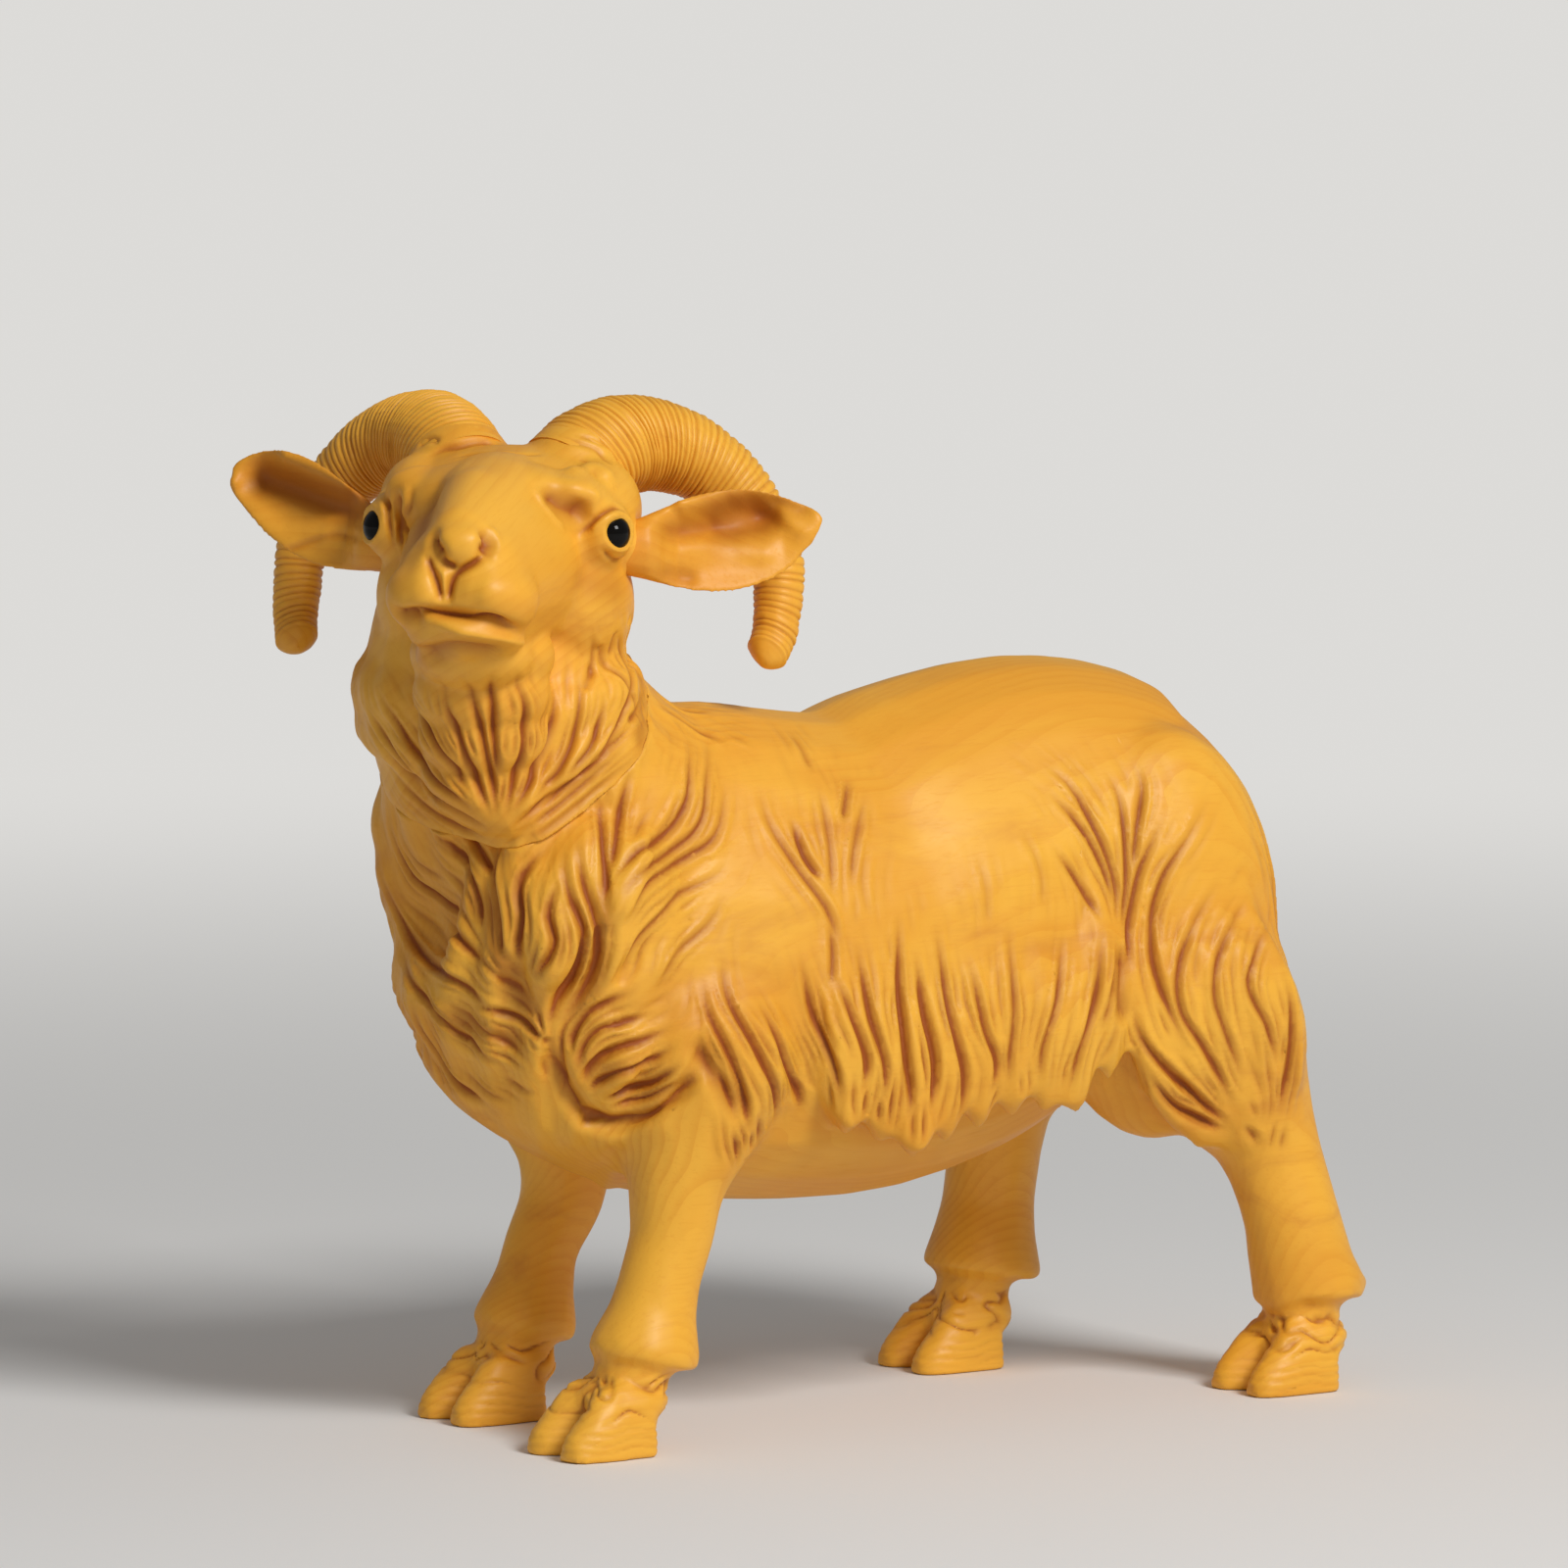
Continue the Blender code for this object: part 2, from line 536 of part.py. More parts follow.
# The neck joint: a flat glue face on each side of a thin glue line, and a dowel through it
slab = 0.080
above = JOINT_CENTRE + JOINT_AXIS * (slab / 2 - GLUE_GAP / 2)
below = JOINT_CENTRE - JOINT_AXIS * (slab / 2 - GLUE_GAP / 2)
cut(body, make_cutter("neck_face", lambda mesh: add_box(mesh, above, JOINT_AXIS, (slab, slab, slab))))
cut(head, make_cutter("throat_face", lambda mesh: add_box(mesh, below, JOINT_AXIS, (slab, slab, slab))))
ground = Vector((0, 0, -0.010))
cut(body, make_cutter("ground", lambda mesh: add_box(mesh, ground, Vector((0, 0, 1)), (0.2, 0.3, 0.020))))


def make_pin(name, centre, axis, radius, length, bored):
    """A pin and, with the glue gap all round it, its bore in each piece that it joins."""
    mesh = bmesh.new()
    add_bar(mesh, centre, axis, radius, length)
    make_object(name, mesh, PINWOOD, 0.6)
    bore = make_cutter(name + "_bore", lambda mesh: add_bar(
        mesh, centre, axis, radius + GLUE_GAP, length + 2 * GLUE_GAP))
    for item in bored:
        cut(item, bore)


make_pin("neck_dowel", JOINT_CENTRE, JOINT_AXIS, NECK_DOWEL_RADIUS, NECK_DOWEL_LENGTH, (body, head))

for side, word in ((1, "left"), (-1, "right")):
    # Horn, seated in the skull on a pin
    draft = bmesh.new()
    add_horn(draft, side)
    horn = make_object("horn_" + word, draft, HORNWOOD, 0.45)
    cut(head, make_cutter("horn_seat_" + word, lambda mesh: add_horn(mesh, side, GLUE_GAP)))
    first, second = (Vector(mark[:3]) for mark in horn_stations(side)[:2])
    make_pin("horn_pin_" + word, first, (second - first).normalized(), HORN_PIN_RADIUS,
             HORN_PIN_LENGTH, (head, horn))
    # Ear, seated the same way
    draft = bmesh.new()
    add_ear(draft, side)
    ear = make_object("ear_" + word, draft, BOXWOOD, 0.42)
    cut(head, make_cutter("ear_seat_" + word, lambda mesh: add_ear(mesh, side, GLUE_GAP)))
    seat, root = (face(*place[:3]) for place in ear_leaf(side)[:2])
    make_pin("ear_pin_" + word, seat, (root - seat).normalized(), EAR_PIN_RADIUS, EAR_PIN_LENGTH,
             (head, ear))
    # Bead eye, let into its round socket
    centre = face(side * EYE_SPACING / 2 / MM, EYE_LEAD / MM, 0)
    draft = bmesh.new()
    bmesh.ops.create_icosphere(draft, subdivisions=3, radius=EYE_RADIUS,
                               matrix=Matrix.Translation(centre))
    make_object("eye_" + word, draft, BLACK_GLASS, 0.05)
    cut(head, make_cutter("eye_socket_" + word, lambda mesh: bmesh.ops.create_icosphere(
        mesh, subdivisions=3, radius=EYE_RADIUS + GLUE_GAP, matrix=Matrix.Translation(centre))))

# The footprint's middle goes to the origin
bpy.context.view_layer.update()
corners = []
graph = bpy.context.evaluated_depsgraph_get()
for item in bpy.context.scene.objects:
    if item.type == "MESH" and not item.hide_render:
        corners += [item.matrix_world @ Vector(corner) for corner in item.evaluated_get(graph).bound_box]
low, high = (Vector(pick(corner[axis] for corner in corners) for axis in range(3)) for pick in (min, max))
stand.location = (-(low.x + high.x) / 2, -(low.y + high.y) / 2, -low.z)
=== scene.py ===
import math

import bmesh
import bpy
import numpy as np
from mathutils import Matrix, Vector, noise
from mathutils.bvhtree import BVHTree
from mathutils.kdtree import KDTree


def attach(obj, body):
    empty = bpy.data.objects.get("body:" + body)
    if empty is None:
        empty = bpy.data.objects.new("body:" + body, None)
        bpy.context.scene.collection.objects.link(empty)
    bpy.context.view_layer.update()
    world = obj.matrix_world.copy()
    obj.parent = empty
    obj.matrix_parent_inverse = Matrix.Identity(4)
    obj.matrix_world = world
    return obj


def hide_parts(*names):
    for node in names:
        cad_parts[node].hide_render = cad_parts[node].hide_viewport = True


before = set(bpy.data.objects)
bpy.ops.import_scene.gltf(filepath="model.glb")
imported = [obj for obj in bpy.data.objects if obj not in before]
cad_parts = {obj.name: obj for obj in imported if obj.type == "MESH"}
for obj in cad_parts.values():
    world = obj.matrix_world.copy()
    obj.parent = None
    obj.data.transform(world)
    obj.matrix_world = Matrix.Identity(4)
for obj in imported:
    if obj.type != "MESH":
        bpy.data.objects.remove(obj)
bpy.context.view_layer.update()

# Camera
# A long lens, low down, in front of the goat's left shoulder. Places on the carving that are
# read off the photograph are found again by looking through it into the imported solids.
MM = 0.001
AIM = Vector((-3.845, 1.773, 75.0)) * MM
AWAY = 1.4
TURN, RISE = math.radians(57), math.radians(6)
PHOTO_SIDE = 1600
LENS_PIXELS = 8.47 * AWAY / MM

backwards = Vector((math.sin(TURN) * math.cos(RISE), -math.cos(TURN) * math.cos(RISE), math.sin(RISE)))
camera = bpy.data.objects.new("camera", bpy.data.cameras.new("camera"))
bpy.context.scene.collection.objects.link(camera)
bpy.context.scene.camera = camera
camera.location = AIM + backwards * AWAY
camera.rotation_mode = "QUATERNION"
camera.rotation_quaternion = (-backwards).to_track_quat("-Z", "Y")
camera.data.sensor_width = 36
camera.data.lens = LENS_PIXELS / PHOTO_SIDE * 36
camera.data.clip_start, camera.data.clip_end = 0.05, 20
right = (-backwards).cross(Vector((0, 0, 1))).normalized()
upwards = right.cross(-backwards)


def sight(column, row):
    """The way from the lens through a place in the photograph's frame."""
    across, down = column - PHOTO_SIDE / 2, row - PHOTO_SIDE / 2
    return (-backwards + right * (across / LENS_PIXELS) - upwards * (down / LENS_PIXELS)).normalized()


# Body
# One block of boxwood: trunk, neck stump, legs and hooves, with the coat cut in by gouge and knife,
# then sanded and waxed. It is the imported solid's own shape, refined and carved.
def weld(node):
    """A copy of a CAD node's mesh with its loose triangles joined."""
    mesh = bmesh.new()
    mesh.from_mesh(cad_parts[node].data)
    bmesh.ops.remove_doubles(mesh, verts=mesh.verts, dist=2e-6)
    return mesh


def put(name, mesh):
    """An object that sits at the origin, from a mesh or a mesh in the making."""
    if isinstance(mesh, bmesh.types.BMesh):
        data = bpy.data.meshes.new(name)
        mesh.to_mesh(data)
        mesh.free()
    else:
        data = mesh
    item = bpy.data.objects.new(name, data)
    bpy.context.scene.collection.objects.link(item)
    return item


def settle(item):
    """Turns the object's modifiers into plain mesh."""
    graph = bpy.context.evaluated_depsgraph_get()
    made = bpy.data.meshes.new_from_object(item.evaluated_get(graph))
    item.modifiers.clear()
    item.data = made
    item.data.shade_smooth()


def sand(item, passes, group=""):
    """Smooths the skin, everywhere or by the shares in a vertex group."""
    ease = item.modifiers.new("Ease", "SMOOTH")
    ease.factor = 0.5
    ease.iterations = passes
    ease.vertex_group = group
    settle(item)


def sand_where(item, weights, passes):
    """Smooths the skin by the share given for each vertex, in ten grades."""
    group = item.vertex_groups.new(name="sanded")
    for grade in range(1, 11):
        members = np.nonzero(np.round(weights * 10).astype(int) == grade)[0]
        group.add(members.tolist(), grade / 10, "REPLACE")
    sand(item, passes, group.name)
    item.vertex_groups.clear()


def melt(item, voxel, passes):
    """Joins overlapping shapes into one fine skin, and sands it."""
    skin = item.modifiers.new("Skin", "REMESH")
    skin.mode = "VOXEL"
    skin.voxel_size = voxel * MM
    sand(item, passes)


def read(item):
    """Vertex places and normals, in millimetres."""
    count = len(item.data.vertices)
    places, normals = np.empty(count * 3, np.float32), np.empty(count * 3, np.float32)
    item.data.vertices.foreach_get("co", places)
    item.data.vertex_normals.foreach_get("vector", normals)
    return places.reshape(-1, 3).astype(float) / MM, normals.reshape(-1, 3).astype(float)


def write(item, places):
    """Puts the vertices where they are said to be, in millimetres."""
    item.data.vertices.foreach_set("co", (places * MM).astype(np.float32).ravel())
    item.data.update()


def thread(points, gap=0.25):
    """A smooth run through points, with the given gap between its places."""
    marks = np.array(points, float)
    if len(marks) > 2:
        marks = np.vstack((2 * marks[0] - marks[1], marks, 2 * marks[-1] - marks[-2]))
        run = []
        for before, start, end, after in zip(marks, marks[1:], marks[2:], marks[3:]):
            for t in np.linspace(0, 1, 12, endpoint=False):
                run.append(0.5 * (2 * start + (end - before) * t
                                  + (2 * before - 5 * start + 4 * end - after) * t ** 2
                                  + (3 * start - before - 3 * end + after) * t ** 3))
        marks = np.array(run + [marks[-2]])
    lengths = np.concatenate(([0], np.cumsum(np.linalg.norm(np.diff(marks, axis=0), axis=1))))
    stops = np.linspace(0, lengths[-1], max(2, int(lengths[-1] / gap) + 1))
    return np.stack([np.interp(stops, lengths, marks[:, axis]) for axis in range(3)], 1)


def eased(share):
    """A share from 0 to 1 that starts and ends gently."""
    return share * share * (3 - 2 * share)


def bell(away, breadth):
    """A share that falls off softly round a place, by how the vertices lie away from it."""
    return np.exp(-np.sum(away ** 2, axis=1) / breadth ** 2)


def unit(way):
    """The same way, one long."""
    return np.array(way) / np.linalg.norm(way)


def skin_of(item):
    """The item's skin in a form that rays and nearest places can be asked of."""
    return BVHTree.FromPolygons([tuple(vertex.co) for vertex in item.data.vertices],
                                [tuple(face.vertices) for face in item.data.polygons])


def onto(tree, places):
    """The nearest places on the skin."""
    return np.array([tree.find_nearest(place * MM)[0] for place in places]) / MM


def through_lens(column, row):
    """Where a sight line starts and which way it goes, for a place in the photograph."""
    return camera.location, sight(column, row)


def on_skin(tree, spots, look=through_lens):
    """Places in the photograph, or in another view, as places on the carving in millimetres."""
    met = [tree.ray_cast(*look(*spot))[0] for spot in spots]
    return [place / MM for place in met if place is not None]


def close_to(places, line, margin):
    """The vertices in the box round a line."""
    return np.nonzero(((places > line.min(0) - margin) & (places < line.max(0) + margin)).all(1))[0]


# How deep a cut is where its wax and painted shade are darkest
SHADE_AND_WAX_DEPTH = 0.7


def stroke(places, normals, cut, path, width, height, ends=0.25):
    """Pushes the skin out, or in for a height below zero, along a path. Cuts are noted for the colour, as wax
    and painted shade.
    """
    line = thread(path, min(0.25, width / 2))
    near = close_to(places, line, 2.6 * width)
    if not len(near):
        return
    apart = np.linalg.norm(places[near][:, None] - line[None], axis=2)
    share = apart.argmin(1) / max(1, len(line) - 1)
    fade = np.ones(len(near))
    if ends > 0 and len(line) > 2:
        fade = np.clip(np.minimum(share, 1 - share) / ends, 0, 1)
    push = np.exp(-(apart.min(1) / width) ** 2) * eased(fade)
    places[near] += normals[near] * (push * height)[:, None]
    if height < 0:
        cut[near] = np.maximum(cut[near], push * min(1.0, -height / SHADE_AND_WAX_DEPTH))


# Guides for the coat's flow on the near side, from root to tip, with how deep it is cut there
COAT = (
    (0.9, (395, 810), (400, 850), (425, 900), (470, 960), (510, 1000)),
    (0.8, (380, 850), (385, 900), (415, 950), (460, 1000), (520, 1040)),
    (1.0, (440, 830), (462, 865), (482, 905), (492, 955)),
    (1.0, (470, 840), (490, 870), (503, 895)),
    (0.8, (405, 960), (425, 1010), (460, 1050), (520, 1090)),
    (0.8, (420, 1010), (435, 1060), (460, 1100), (500, 1130)),
    (0.5, (470, 950), (500, 990), (540, 1020)),
    (1.0, (480, 1020), (530, 1040), (560, 1065)),
    (1.0, (520, 850), (505, 880), (505, 920), (508, 950), (520, 985)),
    (1.0, (560, 860), (530, 900), (530, 940), (530, 985)),
    (1.1, (575, 890), (560, 930), (565, 965), (545, 1000)),
    (1.1, (575, 850), (578, 900), (595, 950), (590, 985), (565, 1030), (560, 1060)),
    (1.0, (590, 840), (592, 880), (605, 930), (610, 965), (600, 1000), (575, 1040)),
    (0.8, (610, 800), (615, 850), (618, 890), (618, 930)),
    (0.7, (640, 770), (640, 800), (630, 850), (620, 900)),
    (0.7, (700, 740), (704, 780), (700, 820), (680, 850), (640, 880), (620, 910)),
    (0.6, (720, 740), (722, 790), (715, 840), (690, 865), (650, 895), (625, 930)),
    (0.6, (738, 780), (738, 820), (728, 855), (700, 875), (660, 905), (635, 950)),
    (0.5, (745, 860), (735, 890), (690, 915), (650, 960), (635, 1000)),
    (0.4, (745, 900), (725, 940), (690, 975), (665, 1015)),
    (0.8, (655, 1008), (622, 1022), (598, 1036), (584, 1058), (584, 1082)),
    (0.9, (675, 1030), (640, 1042), (610, 1052), (594, 1070), (591, 1094)),
    (1.0, (692, 1044), (660, 1060), (625, 1072), (602, 1090), (596, 1108)),
    (1.0, (697, 1062), (664, 1082), (630, 1096), (608, 1106), (602, 1118)),
    (1.0, (701, 1080), (672, 1102), (640, 1113), (614, 1120)),
    (0.9, (703, 1096), (674, 1115), (644, 1124), (620, 1130)),
    (1.0, (718, 985), (722, 1030), (748, 1085), (762, 1135), (763, 1160)),
    (1.0, (738, 960), (744, 1020), (775, 1075), (793, 1118), (788, 1148)),
    (0.9, (765, 1010), (800, 1075), (815, 1118), (812, 1140)),
    (0.8, (812, 960), (828, 1030), (850, 1088), (860, 1132)),
    (0.9, (845, 985), (870, 1035), (885, 1080), (880, 1115)),
    (0.9, (872, 950), (890, 1040), (905, 1090), (900, 1130)),
    (1.1, (915, 920), (918, 1000), (925, 1070), (930, 1120), (925, 1150)),
    (1.0, (932, 960), (944, 1035), (955, 1090), (950, 1140)),
    (0.9, (952, 930), (972, 1040), (985, 1100), (975, 1150)),
    (0.8, (985, 965), (1005, 1045), (1018, 1085), (1010, 1120)),
    (0.6, (1028, 930), (1036, 1030), (1030, 1090), (1035, 1115)),
    (0.6, (1086, 940), (1080, 1015), (1065, 1070), (1060, 1110)),
    (0.7, (1125, 930), (1117, 1025), (1100, 1080), (1090, 1120)),
    (0.5, (1138, 950), (1136, 1010), (1122, 1055)),
    # hairlines on the smooth flank, above the fringe
    (0.22, (1040, 840), (1062, 890), (1064, 930)),
    (0.22, (1085, 850), (1105, 900), (1104, 945)),
    (0.18, (990, 860), (1005, 900), (1008, 950)),
    (0.18, (885, 850), (880, 900), (888, 940)),
    (0.5, (770, 790), (785, 840), (810, 880), (845, 930), (860, 980)),
    (0.8, (805, 830), (820, 870), (840, 900)),
    (0.4, (830, 790), (845, 850), (850, 920)),
    (0.5, (865, 790), (860, 840)),
    (0.4, (885, 800), (873, 860), (868, 910)),
    (0.5, (845, 930), (850, 970), (848, 1010)),
    (0.3, (800, 740), (830, 790)),
    (0.7, (1050, 770), (1090, 800), (1120, 850), (1138, 900), (1142, 950)),
    (0.7, (1060, 800), (1100, 840), (1128, 890), (1138, 930)),
    (0.6, (1070, 860), (1100, 900), (1125, 940)),
    (0.7, (1120, 775), (1140, 810), (1148, 850), (1150, 900), (1147, 960)),
    (0.6, (1150, 770), (1165, 800), (1160, 850), (1155, 900)),
    (0.7, (1195, 820), (1175, 860), (1160, 900), (1152, 960), (1155, 1000)),
    (0.7, (1240, 800), (1215, 850), (1185, 900), (1175, 960), (1185, 1010), (1215, 1080)),
    (0.7, (1255, 880), (1225, 930), (1205, 980), (1205, 1030), (1235, 1080), (1265, 1140)),
    (0.6, (1280, 900), (1250, 960), (1240, 1010), (1250, 1050), (1270, 1110)),
    (0.7, (1290, 930), (1275, 1000), (1295, 1050), (1305, 1090)),
    (1.1, (1155, 1010), (1165, 1060), (1200, 1100), (1255, 1150)),
    (1.1, (1165, 1080), (1195, 1125), (1250, 1155)),
    (0.8, (1305, 980), (1318, 1030), (1315, 1090), (1305, 1140)),
)


def guides_on(tree, table, look=through_lens):
    """The guides of a table, laid on the skin."""
    return [(depth, on_skin(tree, spots, look)) for depth, *spots in table]


def ways_along(line):
    """The way the line runs at each of its places."""
    ways = np.gradient(line, axis=0)
    return ways / np.maximum(np.linalg.norm(ways, axis=1), 1e-6)[:, None]


# The coat is shallow at a guide's root, and deepens over this share of the guide. The far side, out of
# the photograph, is a little quieter
ROOT_DEPTH, ROOT_SHARE = 0.12, 0.5
FAR_DEPTH = 0.8
MIRROR_CLEARANCE = 5.0


def flow_of(tree, guides, mirrored):
    """The guides as places, ways and depths on the carving, with the far side mirrored."""
    runs = [thread(points, 1.0) for _, points in guides]
    places, ways = np.vstack(runs), np.vstack([ways_along(run) for run in runs])
    depths = []
    for (depth, _), run in zip(guides, runs):
        rise = eased(np.clip(np.linspace(0, 1, len(run)) / ROOT_SHARE, 0, 1))
        depths.append(depth * (ROOT_DEPTH + (1 - ROOT_DEPTH) * rise))
    depths = np.concatenate(depths)
    other, turned = mirrored(tree, places, ways)
    clear = np.array([np.linalg.norm(places - place, axis=1).min() > MIRROR_CLEARANCE for place in other])
    places, ways = np.vstack((places, other[clear])), np.vstack((ways, turned[clear]))
    return places, ways, np.concatenate((depths, FAR_DEPTH * depths[clear]))


# A groomed line is stepped over the skin, and a fine lattice keeps account of the room left for more
LINE_STEP = 0.4
SHORTEST_LINE = 4.0
ROOM_CELL = 0.25
ROOM_MARGIN = 12
GUIDE_PULL = 6.0
# Shares of the pitch: how far from others a new line starts, and how near to them it may run
START_SHARE, TOUCH_SHARE = 0.85, 0.42
# A line ends where the skin faces down more than this or turns more than this in a step, as cosines
UNDERSIDE, SHARP_TURN = -0.5, 0.3
# Each line's own reach beyond the guides and own depth, as shares drawn between these
REACH_SHARES, DEPTH_SHARES = (0.5, 1.15), (0.7, 1.2)
# Cross-wise sway of the lines: its share, its size in millimetres, and a shift that sets it apart
SWIRLS = ((0.30, 7.0, 0), (0.22, 3.0, 40))


def disc(radius):
    """The cells of the lattice within a radius."""
    span = int(radius / ROOM_CELL) + 1
    grid = np.stack(np.meshgrid(*[np.arange(-span, span + 1)] * 3, indexing="ij"), -1).reshape(-1, 3)
    return grid[np.linalg.norm(grid * ROOM_CELL, axis=1) <= radius]


def cell_of(places, low):
    """The cell of the lattice that holds a place."""
    return ((places - low) / ROOM_CELL).astype(int)


def follow(tree, flow, start, sign, length, limit, full, low):
    """One end of a groomed line: places with the depth of the cut, until it runs out of hair or room."""
    places, ways, depths = flow
    here, line, facing = start.copy(), [], None
    while len(line) * LINE_STEP < length:
        met, normal = tree.find_nearest(here * MM)[:2]
        if met is None or normal.z < UNDERSIDE or (facing is not None and normal.dot(facing) < SHARP_TURN):
            break
        here, facing = np.array(met) / MM, normal
        gaps = np.sum((places - here) ** 2, axis=1)
        nearest = gaps.min()
        if nearest > limit or full[tuple(cell_of(here, low))]:
            break
        weight = np.exp(-(gaps - nearest) / GUIDE_PULL)
        way, upright = weight @ ways, np.array(normal)
        swirl = sum(share * noise.noise(Vector(here / size + shift)) for share, size, shift in SWIRLS)
        way = way + np.cross(upright, way) * swirl
        way -= upright * (way @ upright)
        line.append((*here, weight @ depths / weight.sum() * (1 - nearest / limit)))
        here = here + sign * way / max(np.linalg.norm(way), 1e-6) * LINE_STEP
    return line


def groom(tree, flow, guides, seeds, passes, chance, reach):
    """Evenly spaced cuts that follow the flow over the skin, as lines of places with depth and width."""
    low = flow[0].min(0) - ROOM_MARGIN
    size = cell_of(flow[0].max(0) + ROOM_MARGIN, low) + 1
    lines = list(guides)

    def mark(room, line, near):
        spots = (cell_of(line[:, :3], low)[:, None] + near[None]).reshape(-1, 3)
        room[tuple(np.clip(spots, 0, size - 1).T)] = True

    for pitch, share, width, shortest, longest in passes:
        crowded, full = np.zeros(size, bool), np.zeros(size, bool)
        wide, close = disc(pitch * START_SHARE), disc(pitch * TOUCH_SHARE)
        for line in lines:
            mark(crowded, line, wide)
            mark(full, line, close)
        for start in seeds[chance.permutation(len(seeds))]:
            spot = cell_of(start, low)
            if (spot < 0).any() or (spot >= size).any() or crowded[tuple(spot)]:
                continue
            length = chance.uniform(shortest, longest)
            limit = (reach * chance.uniform(*REACH_SHARES)) ** 2
            down, up = (follow(tree, flow, start, sign, length / 2, limit, full, low) for sign in (1, -1))
            line = np.array(up[::-1] + down[1:])
            if len(line) * LINE_STEP < SHORTEST_LINE:
                continue
            taper = np.sin(np.pi * np.linspace(0.03, 0.97, len(line)) ** 1.4) ** 1.2
            line[:, 3] *= share * taper * chance.uniform(*DEPTH_SHARES)
            line = np.hstack((line, np.full((len(line), 1), width)))
            lines.append(line)
            mark(crowded, line, wide)
            mark(full, line, close)
    return lines


# The shares of a guide's length over which its own cut deepens and comes up again
EASED_IN, EASED_OUT = 0.5, 0.25


def guide_cuts(tree, guides, width, share):
    """The guides themselves, as the deepest cuts, that start gently and end more steeply."""
    made = []
    for depth, points in guides:
        run = onto(tree, thread(points, LINE_STEP))
        reach = np.linspace(0, 1, len(run))
        taper = eased(np.clip(np.minimum(reach / EASED_IN, (1 - reach) / EASED_OUT), 0.03, 1))
        made.append(np.column_stack((run, depth * share * taper, np.full(len(run), width))))
    return made


# How far from a cut the wood stands up, how much of a line each of its places speaks for to either
# side, and how deep a groove is where the wax and painted shade in it are darkest
SWELL_REACH, MARK_REACH = 3, 0.3
GROOVE_DARK_DEPTH = 0.6


def cut_lines(places, normals, cut, lines, swell):
    """Cuts the groomed lines into the skin and lets the wood between them stand up."""
    ways = np.vstack([ways_along(line[:, :3]) for line in lines])
    marks = np.vstack(lines)
    tree = KDTree(len(marks))
    for index, mark in enumerate(marks):
        tree.insert(mark[:3], index)
    tree.balance()
    near = close_to(places, marks[:, :3], SWELL_REACH)
    found = np.array([[index for _, index, _ in tree.find_n(place, 6)] for place in places[near]])
    sunk, rise = np.zeros(len(near)), np.zeros(len(near))
    for picked in found.T:
        away = places[near] - marks[picked, :3]
        along = np.clip(np.sum(away * ways[picked], axis=1), -MARK_REACH, MARK_REACH)
        apart = np.sqrt(np.maximum(0, np.sum(away ** 2, axis=1) - along ** 2))
        depth, width = marks[picked, 3], marks[picked, 4]
        sunk = np.maximum(sunk, depth * np.exp(-(apart / width) ** 1.8))
        rise = np.maximum(rise, np.minimum(1, depth * 2) * np.clip(1 - (apart / SWELL_REACH) ** 2, 0, 1))
    places[near] += normals[near] * (rise * swell - sunk)[:, None]
    # The grooves are noted for wax and painted shade in the colour
    cut[near] = np.maximum(cut[near], np.clip(sunk / GROOVE_DARK_DEPTH, 0, 1))


MOST_TRIANGLES = 190000


def thin(item):
    """Thins the skin where it is flat, down to the most triangles that a piece may have."""
    triangles = sum(len(face.vertices) - 2 for face in item.data.polygons)
    if triangles > MOST_TRIANGLES:
        fewer = item.modifiers.new("Fewer", "DECIMATE")
        fewer.ratio = MOST_TRIANGLES / triangles
        settle(item)


def note(item, name, values):
    """Keeps a value for each vertex, for the wood's colour or the horn's sweep."""
    attribute = item.data.attributes.new(name, "FLOAT", "POINT")
    attribute.data.foreach_set("value", values.astype(np.float32))


# The glue joint across the neck: its middle and the way it faces. The wood is left long there,
# then sawn through with hardly a gap, and both sides are dressed to one outline.
JOINT = np.array((1.655, -39.627, 84.6))
JOINT_AXIS = unit((0.311, -0.532, 0.788))
JOINT_AHEAD = unit(np.cross(np.cross(JOINT_AXIS, (0.0, -1.0, 0.0)), JOINT_AXIS))
JOINT_ASIDE = np.cross(JOINT_AXIS, JOINT_AHEAD)
JOINT_GAP, JOINT_BAND, LEFT_LONG = 0.14, 0.4, 2.5
TURNS = np.radians(np.arange(-180, 180, 7.5))


def round_joint(places):
    """Height over the joint, turn round its axis and reach from it."""
    away = places - JOINT
    ahead, aside = away @ JOINT_AHEAD, away @ JOINT_ASIDE
    return away @ JOINT_AXIS, np.arctan2(aside, ahead), np.hypot(ahead, aside)


def rim_of(places, band):
    """The outline of the sawn face, as a reach for each turn."""
    height, turn, reach = round_joint(places)
    edge = (np.abs(height) < band) & (reach > 10)
    order = np.argsort(turn[edge])
    found = np.interp(TURNS, turn[edge][order], reach[edge][order], period=2 * math.pi)
    for index, centre in enumerate(TURNS):
        close = np.abs((turn[edge] - centre + math.pi) % (2 * math.pi) - math.pi) < math.radians(4)
        if close.any():
            found[index] = reach[edge][close].max()
    return (np.roll(found, 1) + 2 * found + np.roll(found, -1)) / 4


def leave_long(mesh, side):
    """Moves the glued face out past the joint, before the skin is refined."""
    for vert in mesh.verts:
        if abs((np.array(vert.co) / MM - JOINT) @ JOINT_AXIS) < JOINT_BAND:
            vert.co -= Vector(JOINT_AXIS) * (side * LEFT_LONG * MM)


